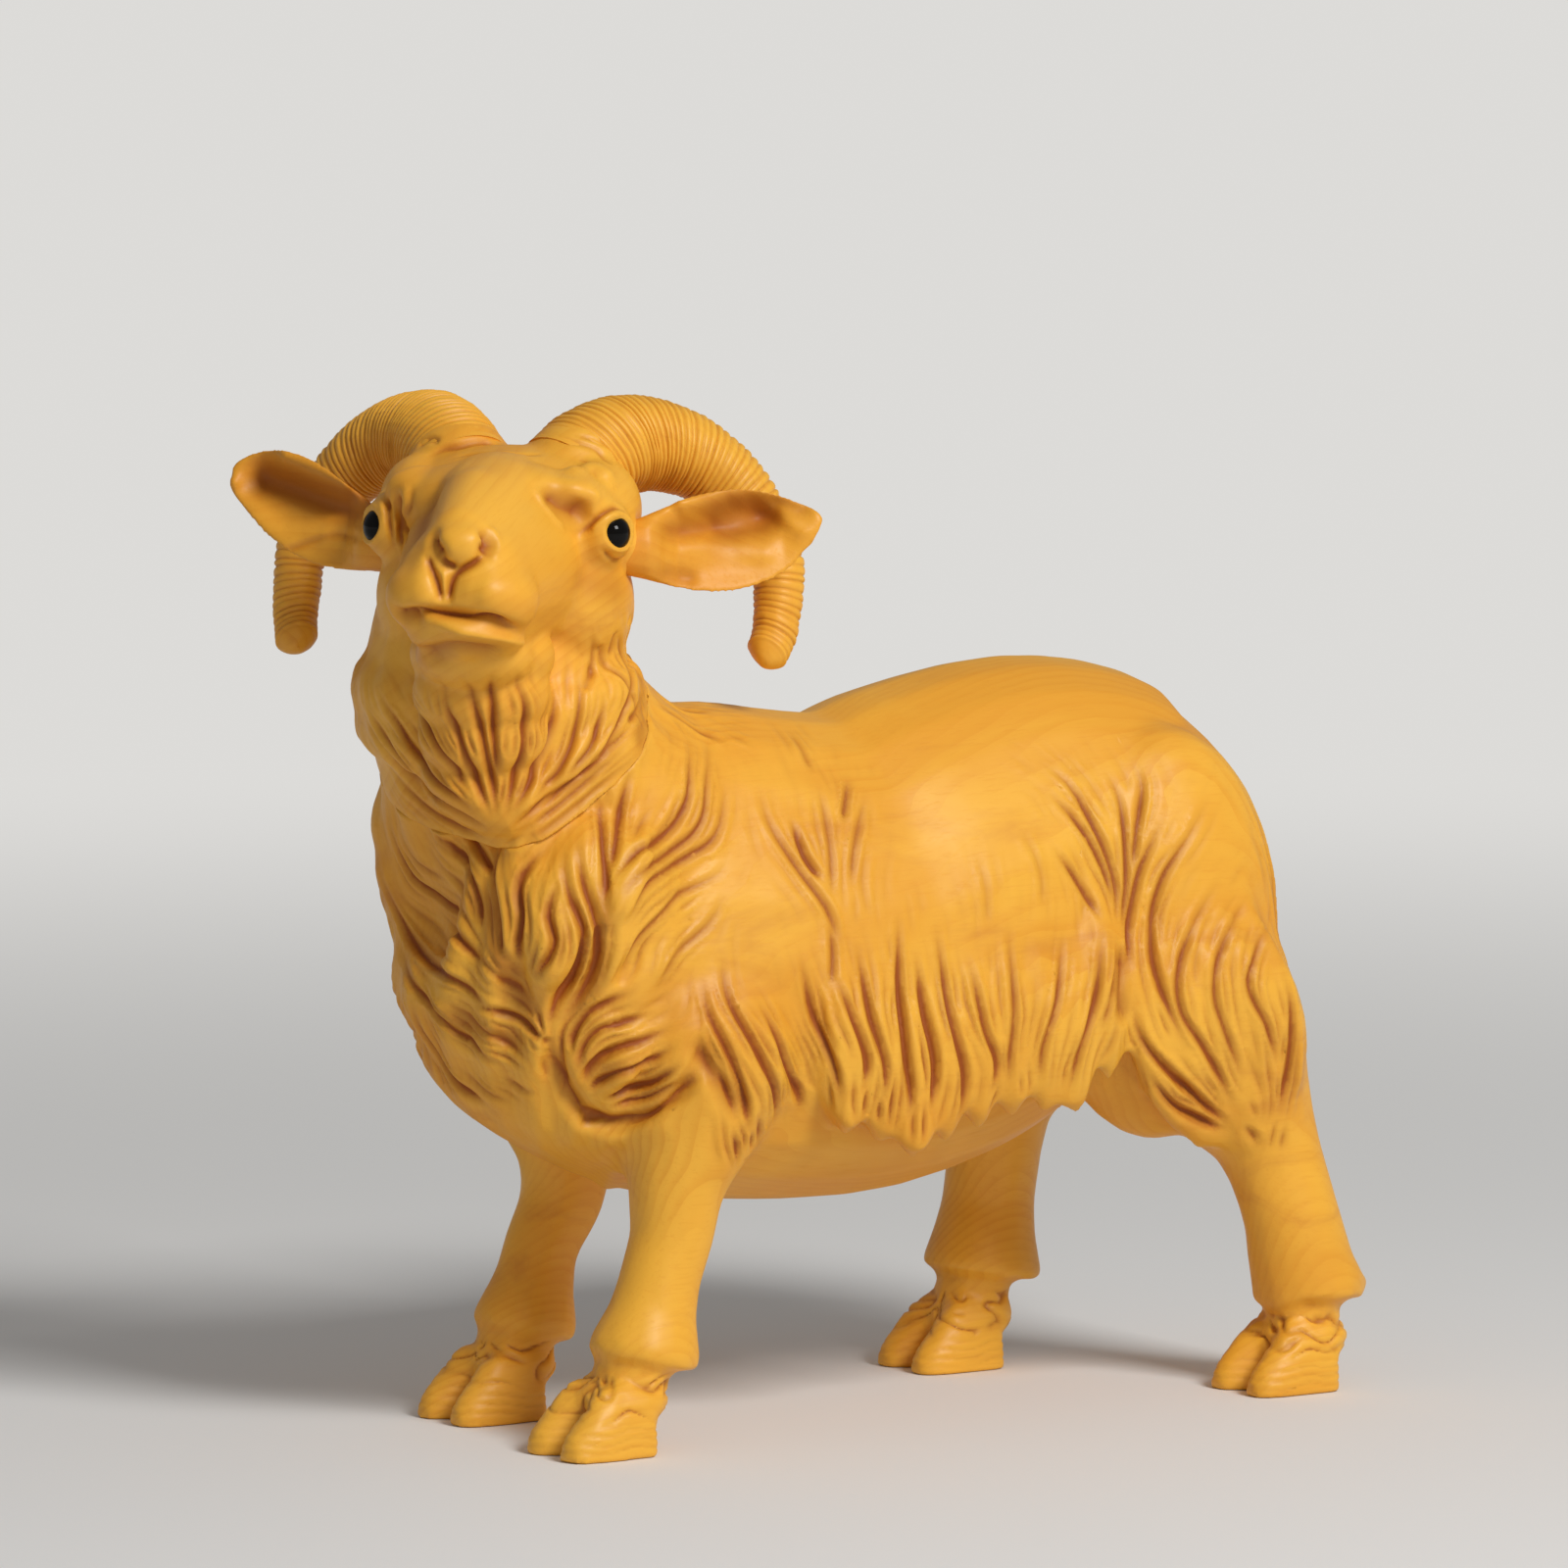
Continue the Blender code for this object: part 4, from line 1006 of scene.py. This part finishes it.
# Guides for the ruff, down to the point under the chin, with how deep it is cut there
RUFF = (
    (1.0, (444, 690), (455, 720), (470, 760), (488, 800), (502, 836)),
    (1.0, (470, 685), (484, 720), (494, 760), (503, 800), (507, 838)),
    (1.0, (500, 680), (502, 715), (504, 755), (508, 800)),
    (1.0, (525, 680), (533, 710), (535, 745), (525, 790), (514, 838)),
    (1.0, (412, 700), (432, 735), (455, 775), (480, 812)),
    (0.9, (385, 690), (400, 730), (430, 775), (462, 812), (488, 834)),
    (0.7, (372, 700), (382, 735), (410, 778), (440, 808), (465, 825)),
    (1.0, (562, 690), (566, 720), (558, 760), (540, 800), (520, 832)),
    (0.8, (592, 670), (592, 710), (586, 750), (568, 790), (542, 818)),
    (0.8, (615, 700), (614, 730), (602, 765), (575, 795)),
    (0.7, (628, 650), (640, 680), (640, 720), (625, 752), (600, 780)),
    (0.6, (647, 640), (657, 680), (653, 715), (640, 738)),
    (0.4, (602, 640), (605, 670), (602, 700)),
    # lines along the edge of the neck
    (0.6, (650, 748), (612, 786), (570, 822), (528, 850)),
    (0.5, (655, 764), (616, 800), (574, 834), (530, 862)),
    (0.6, (386, 772), (420, 810), (462, 840), (500, 858)),
)
# Round the back of the head: depth, then turn round the joint and height over it
NAPE_ABOVE = tuple((0.6, (turn, 13), (turn + 4, 8), (turn, 3), (turn - 2, 0.4))
                   for turn in range(128, 335, 14))
RUFF_PASSES = ((3.2, 0.85, 0.55, 12, 24), (1.15, 0.5, 0.38, 6, 16))
# The hair grows below this height on the head and behind this place on the jaw
HAIR_BELOW, HAIR_BEHIND = -8, 13.0


def across_head(tree, places, ways):
    """The same places and ways on the other side of the head."""
    flip = np.array((-1, 1, 1))
    local, turned = (places - EYES_MIDDLE) @ HEAD_FRAME * flip, ways @ HEAD_FRAME * flip
    return onto(tree, local @ HEAD_FRAME.T + EYES_MIDDLE), turned @ HEAD_FRAME.T


write(head, places)
places, normals = read(head)
skin_tree = skin_of(head)
ruff = guides_on(skin_tree, RUFF) + guides_on(skin_tree, NAPE_ABOVE, round_neck)
in_face = (places - EYES_MIDDLE) @ HEAD_FRAME
hairy = places[(in_face[:, 2] < HAIR_BELOW) & (-in_face[:, 1] < HAIR_BEHIND)][::5]
lines = groom(skin_tree, flow_of(skin_tree, ruff, across_head),
              guide_cuts(skin_tree, ruff, width=0.55, share=0.9),
              seeds=hairy, passes=RUFF_PASSES, chance=np.random.default_rng(7), reach=4.0)
cut_lines(places, normals, cut, lines, swell=0.2)
write(head, places)
note(head, "cut", cut)
note(head, "hollow", hollows(head, passes=40, deepest=0.30))
thin(head)
head.data.materials.clear()
head.data.materials.append(boxwood("head_wood", middle=(30, -10, 40), turn=(12, 20, 48), spacing=1.3,
                                   layers=0.35, vessels=0.4, rose=0.55))
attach(head, "root")
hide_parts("head")

# Neck dowel and pins
# Beech-like round stock, cut to length with its ends chamfered and its sides fluted for glue; all of
# it is hidden inside the glued joints.
PIN_STATIONS = ((-1, 0.80), (-0.94, 0.98), (-0.5, 1), (0, 1), (0.5, 1), (0.94, 0.98), (1, 0.80))
FLUTE_SHARE = 0.95


def pin(node, flutes):
    """A fluted pin with chamfered ends, where the CAD bar lies."""
    corners = corners_of(node) * MM
    middle = corners.mean(0)
    axis = np.linalg.eigh(np.cov((corners - middle).T))[1][:, 2]
    reach = np.abs((corners - middle) @ axis).max()
    radius = np.linalg.norm(np.cross(corners - middle, axis), axis=1).max()
    turn = Vector(axis).to_track_quat("Z", "Y").to_matrix()
    mesh = bmesh.new()
    rings = []
    for along, share in PIN_STATIONS:
        ring = []
        for step in range(4 * flutes):
            angle = 2 * math.pi * step / (4 * flutes)
            out = radius * share * (FLUTE_SHARE if step % 4 == 0 else 1.0)
            place = turn @ Vector((out * math.cos(angle), out * math.sin(angle), along * reach))
            ring.append(mesh.verts.new(place + Vector(middle)))
        rings.append(ring)
    for low, high in zip(rings, rings[1:]):
        for step in range(len(low)):
            mesh.faces.new((low[step], low[(step + 1) % len(low)], high[(step + 1) % len(low)], high[step]))
    mesh.faces.new(rings[0][::-1])
    mesh.faces.new(rings[-1])
    item = put(node + "_turned", mesh)
    item.data.materials.append(pin_wood)
    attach(item, "root")
    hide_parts(node)


pin_wood = boxwood("pin_wood", middle=(4, 0, 0), turn=(90, 0, 0), spacing=0.9, layers=0.4, vessels=0.8,
                   rose=0.1, pale=(0.80, 0.52, 0.20, 1))
pin("neck_dowel", 9)
for word in ("left", "right"):
    pin("horn_pin_" + word, 5)
    pin("ear_pin_" + word, 4)

# Horns
# Two curls of boxwood, each cut with a ring of ribs for every season's growth, let into the skull on a
# pin. The ribs follow the horn's own line, so a node tree makes them.
HORN_LINE = ((6.6, -10.6, 7.8), (8.8, -13.4, 10.4), (12.2, -18.0, 12.1), (16.8, -22.0, 11.9),
             (21.9, -25.0, 9.2), (26.3, -27.0, 4.4), (28.8, -27.5, -1.1), (29.1, -27.0, -6.8),
             (28.8, -25.8, -10.6), (28.0, -23.8, -13.0))
HORN_SHARES, HORN_RADII = (0, 0.2, 0.45, 0.65, 1), (6.3, 6.03, 4.67, 3.49, 2.5)
HORN_HUB = (15, -22, -3)
SIDES = ((1, "left"), (-1, "right"))
# Wear that dents the ribs: its strength, then the sizes and shares of the dents
WORN_DEPTH, DENTS = 0.13, ((2.6, 1), (1.1, 0.5))


def horn_tree():
    """Sweeps a ribbed skin along a line that carries its own girth and facing."""
    tree = bpy.data.node_groups.new("ribbed_horn", "GeometryNodeTree")
    sockets(tree, "INPUT", ("Line", "Geometry", None), ("Ribs", "Int", 56), ("Rib Depth", "Float", 0.085),
            ("Sides", "Int", 40), ("Steps per Rib", "Int", 9), ("Finish", "Material", None))
    sockets(tree, "OUTPUT", ("Horn", "Geometry", None))
    add, sums, times = nodes_in(tree)
    given = add("NodeGroupInput").outputs

    def carried(name, kind):
        return add("GeometryNodeInputNamedAttribute", {"Name": name}, data_type=kind).outputs["Attribute"]

    def unrest(along, scale):
        return add("ShaderNodeTexNoise", {"W": along, "Scale": scale}, noise_dimensions="1D").outputs[0]

    curve = add("GeometryNodeMeshToCurve", {"Mesh": given["Line"]})
    steps = times(given["Ribs"], given["Steps per Rib"])
    curve = add("GeometryNodeResampleCurve", {"Curve": curve, "Count": steps}, mode="COUNT")
    outwards = carried("facing", "FLOAT_VECTOR")
    curve = add("GeometryNodeSetCurveNormal", {"Curve": curve, "Normal": outwards}, mode="FREE")
    # The ribs lie a little unevenly along the horn, closer at the tip, and are cut to uneven depths
    share = add("GeometryNodeSplineParameter").outputs["Factor"]
    uneven = sums("ADD", share, times(unrest(share, 22), 0.016))
    phase = sums("FRACT", times(sums("POWER", uneven, 0.92), given["Ribs"]))
    groove = sums("POWER", sums("ABSOLUTE", sums("SUBTRACT", times(phase, 2), 1)), 2.4)
    groove = times(groove, sums("ADD", times(unrest(share, 38), 1.5), 0.12))
    ends = times(sums("SMOOTH_MIN", times(share, 14), 1, 0.2),
                 sums("SMOOTH_MIN", times(sums("SUBTRACT", 1, share), 12), 1, 0.2))
    dip = times(groove, ends)
    # The grooves are noted for wax and painted shade in the colour
    shaded_and_waxed = {"Geometry": curve, "Name": "cut", "Value": times(dip, 0.55)}
    curve = add("GeometryNodeStoreNamedAttribute", shaded_and_waxed, data_type="FLOAT", domain="POINT")
    slimmer = sums("SUBTRACT", 1, times(dip, given["Rib Depth"]))
    tip = sums("SQRT", sums("MINIMUM", 1, times(sums("SUBTRACT", 1.0, share), 28)))
    girth = times(times(carried("girth", "FLOAT"), slimmer), tip)
    circle = add("GeometryNodeCurvePrimitiveCircle", {"Resolution": given["Sides"], "Radius": 1})
    oval = add("GeometryNodeTransform", {"Geometry": circle, "Scale": (1, 0.93, 1)})
    skin = add("GeometryNodeCurveToMesh",
               {"Curve": curve, "Profile Curve": oval, "Scale": girth, "Fill Caps": True})
    skin = add("GeometryNodeSetShadeSmooth", {"Geometry": skin})
    skin = add("GeometryNodeRealizeInstances", {"Geometry": skin})
    add("NodeGroupOutput",
        {"Horn": add("GeometryNodeSetMaterial", {"Geometry": skin, "Material": given["Finish"]})})
    return tree


ribbed = horn_tree()
horn_wood = boxwood("horn_wood", middle=(0, -60, 90), turn=(0, 0, 90), spacing=1.2, layers=0.35,
                    vessels=0.3, rose=0.45)
for side, word in SIDES:
    line = thread([face(side * left, ahead, up) for left, ahead, up in HORN_LINE], 0.4)
    mesh = bmesh.new()
    spots = [mesh.verts.new(place * MM) for place in line]
    for start, end in zip(spots, spots[1:]):
        mesh.edges.new((start, end))
    horn = put("horn_curl_" + word, mesh)
    note(horn, "girth", np.interp(np.linspace(0, 1, len(line)), HORN_SHARES, HORN_RADII) * MM)
    outwards = line - face(side * HORN_HUB[0], *HORN_HUB[1:])
    outwards /= np.linalg.norm(outwards, axis=1)[:, None]
    facing = horn.data.attributes.new("facing", "FLOAT_VECTOR", "POINT")
    facing.data.foreach_set("vector", outwards.astype(np.float32).ravel())
    sweep = horn.modifiers.new("Ribs", "NODES")
    sweep.node_group = ribbed
    for socket in ribbed.interface.items_tree:
        if socket.name == "Finish":
            sweep[socket.identifier] = horn_wood
    settle(horn)
    places, normals = read(horn)
    worn = np.array([sum(share * noise.noise(Vector(place / size)) for size, share in DENTS)
                     for place in places])
    write(horn, places + normals * (worn * WORN_DEPTH)[:, None])
    note(horn, "hollow", hollows(horn, passes=12, deepest=0.12))
    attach(horn, "root")
    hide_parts("horn_" + word)

# Ears
# Thin boxwood leaves, hollowed with a gouge so that the upper edge folds forwards. Their short stems
# are glued into the skull, each over a pin.
# How strongly the leaf's hollows take wax and painted shade
EAR_WAX_AND_SHADE = 0.62
# The ears take a deeper pale than the body, as painted shade and wax
EAR_PALE_SHADED = (0.80, 0.36, 0.028, 1)
# Strokes on the leaf: width, height, then the path in the photograph
EARS = {
    "left": ((2.7, -2.5, (742, 530), (755, 526), (768, 524)),
             (1.6, -1.3, (768, 524), (784, 523)),
             (1.2, -0.9, (745, 514), (768, 508), (795, 510), (812, 518)),
             (1.3, -1.3, (684, 541), (700, 540), (720, 536)),
             (1.2, 1.5, (668, 520), (700, 516), (728, 512), (750, 506)),
             (0.9, 0.5, (765, 502), (800, 503), (820, 512), (830, 524), (820, 546)),
             (1.7, 0.7, (700, 562), (740, 558), (780, 562)),
             (1.1, -0.8, (680, 586), (700, 590))),
    "right": ((2.2, -2.2, (362, 517), (332, 507), (300, 495), (272, 487)),
              (1.4, 1.8, (383, 503), (350, 495), (320, 483), (292, 470)),
              (1.9, 0.7, (262, 528), (290, 546), (330, 545)),
              (0.5, -0.6, (297, 561), (320, 553), (345, 546), (362, 548)),
              (0.8, 0.6, (241, 492), (246, 515), (258, 538), (275, 555))),
}
# Where the leaf's outline is drawn out or in: its place in the photograph, then right, up, breadth
EAR_OUTLINE = {"left": ((830, 524, 0.9, 0.2, 2.4), (820, 558, -0.6, 0.4, 2.2)),
               "right": ((240, 500, -0.3, 0.0, 2.5),)}

ahead = face(0, 1, 0) - face(0, 0, 0)
for side, word in SIDES:
    ear = put("ear_leaf_" + word, weld("ear_" + word))
    melt(ear, voxel=0.22, passes=12)
    places = read(ear)[0]
    ear_tree = skin_of(ear)
    cut = np.zeros(len(places))
    flat = places - np.outer(places @ ahead, ahead)
    for width, height, *pixels in EARS[word]:
        line = thread(on_skin(ear_tree, pixels), 0.3)
        line = line - np.outer(line @ ahead, ahead)
        apart = np.linalg.norm(flat[:, None] - line[None], axis=2)
        push = np.exp(-(apart.min(1) / width) ** 2)
        places += np.outer(push * height, ahead)
        if height < 0:
            cut = np.maximum(cut, np.minimum(1, push * EAR_WAX_AND_SHADE * abs(height)))
    for column, row, rightwards, high, breadth in EAR_OUTLINE[word]:
        way = np.array(sight(column, row))
        off = places - np.array(camera.location) / MM
        off -= np.outer(off @ way, way)
        places += np.outer(bell(off, breadth), np.array(right) * rightwards + np.array(upwards) * high)
    write(ear, places)
    sand(ear, passes=8)
    note(ear, "cut", cut)
    note(ear, "hollow", hollows(ear, passes=60, deepest=0.5))
    ear.data.materials.clear()
    ear.data.materials.append(boxwood("ear_wood_" + word, middle=(side * 10, -50, 40), turn=(0, 0, 90),
                                      spacing=1.4, layers=0.5, vessels=0.8, rose=0.4, pale=EAR_PALE_SHADED))
    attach(ear, "root")
    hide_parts("ear_" + word)

# Eyes
# Beads of black glass, pressed into round sockets until the lids hold them.
bead_glass, _ = surface("black_bead_glass", {"Base Color": (0.004, 0.0035, 0.003, 1), "Roughness": 0.04,
                                             "Specular IOR Level": 0.12})
for side, word in SIDES:
    mesh = bmesh.new()
    middle = Vector(face(side * BEAD_AT[0], *BEAD_AT[1:])) * MM
    bmesh.ops.create_uvsphere(mesh, u_segments=56, v_segments=32, radius=BEAD_RADIUS * MM,
                              matrix=Matrix.Translation(middle))
    eye = put("eye_bead_" + word, mesh)
    eye.data.shade_smooth()
    eye.data.materials.append(bead_glass)
    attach(eye, "root")
    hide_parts("eye_" + word)

# Floor and light
# A plain pale studio floor that runs far back into an even paleness, one large lamp high on the
# goat's left, and soft light from all round.
FLOOR_COLOUR, FAR_COLOUR = (0.80, 0.79, 0.77, 1), (0.72, 0.71, 0.69, 1)
FAR_STARTS, FAR_FULL = 0.16, 0.75
SOFT_LIGHT = 0.28
LAMP_PLACE, LAMP_AIM = Vector((1.0, 0.10, 0.85)), Vector((0, 0, 0.06))
LAMP_SIZE, LAMP_POWER = 0.38, 12.6

floor_mesh = bmesh.new()
bmesh.ops.create_grid(floor_mesh, x_segments=1, y_segments=1, size=14)
floor = put("floor", floor_mesh)
floor_paint, paint = surface("floor_paint", {"Base Color": FLOOR_COLOUR, "Roughness": 0.85})
add, sums, times = nodes_in(floor_paint.node_tree)
middle = add("ShaderNodeTexCoord").outputs["Object"]
distance = add("ShaderNodeVectorMath", {0: middle}, operation="LENGTH").outputs["Value"]
farther = add("ShaderNodeMapRange", {"Value": distance, "From Min": FAR_STARTS, "From Max": FAR_FULL},
              interpolation_type="SMOOTHSTEP").outputs[0]
seen = add("ShaderNodeLightPath").outputs
seen = sums("MAXIMUM", seen["Is Camera Ray"], seen["Is Glossy Ray"])
pale = add("ShaderNodeEmission", {"Color": FAR_COLOUR})
both = add("ShaderNodeMixShader", {0: times(farther, seen), 1: paint, 2: pale})
feed(floor_paint.node_tree.nodes["Material Output"], {"Surface": both})
floor.data.materials.append(floor_paint)

world = bpy.data.worlds.new("studio")
bpy.context.scene.world = world
world.use_nodes = True
feed(world.node_tree.nodes["Background"], {"Color": (1, 1, 1, 1), "Strength": SOFT_LIGHT})

key = bpy.data.objects.new("key", bpy.data.lights.new("key", "AREA"))
key.data.size = LAMP_SIZE
key.data.energy = LAMP_POWER
key.location = LAMP_PLACE
key.rotation_mode = "QUATERNION"
key.rotation_quaternion = (LAMP_AIM - LAMP_PLACE).to_track_quat("-Z", "Y")
bpy.context.scene.collection.objects.link(key)
bpy.context.scene.view_settings.view_transform = "Standard"
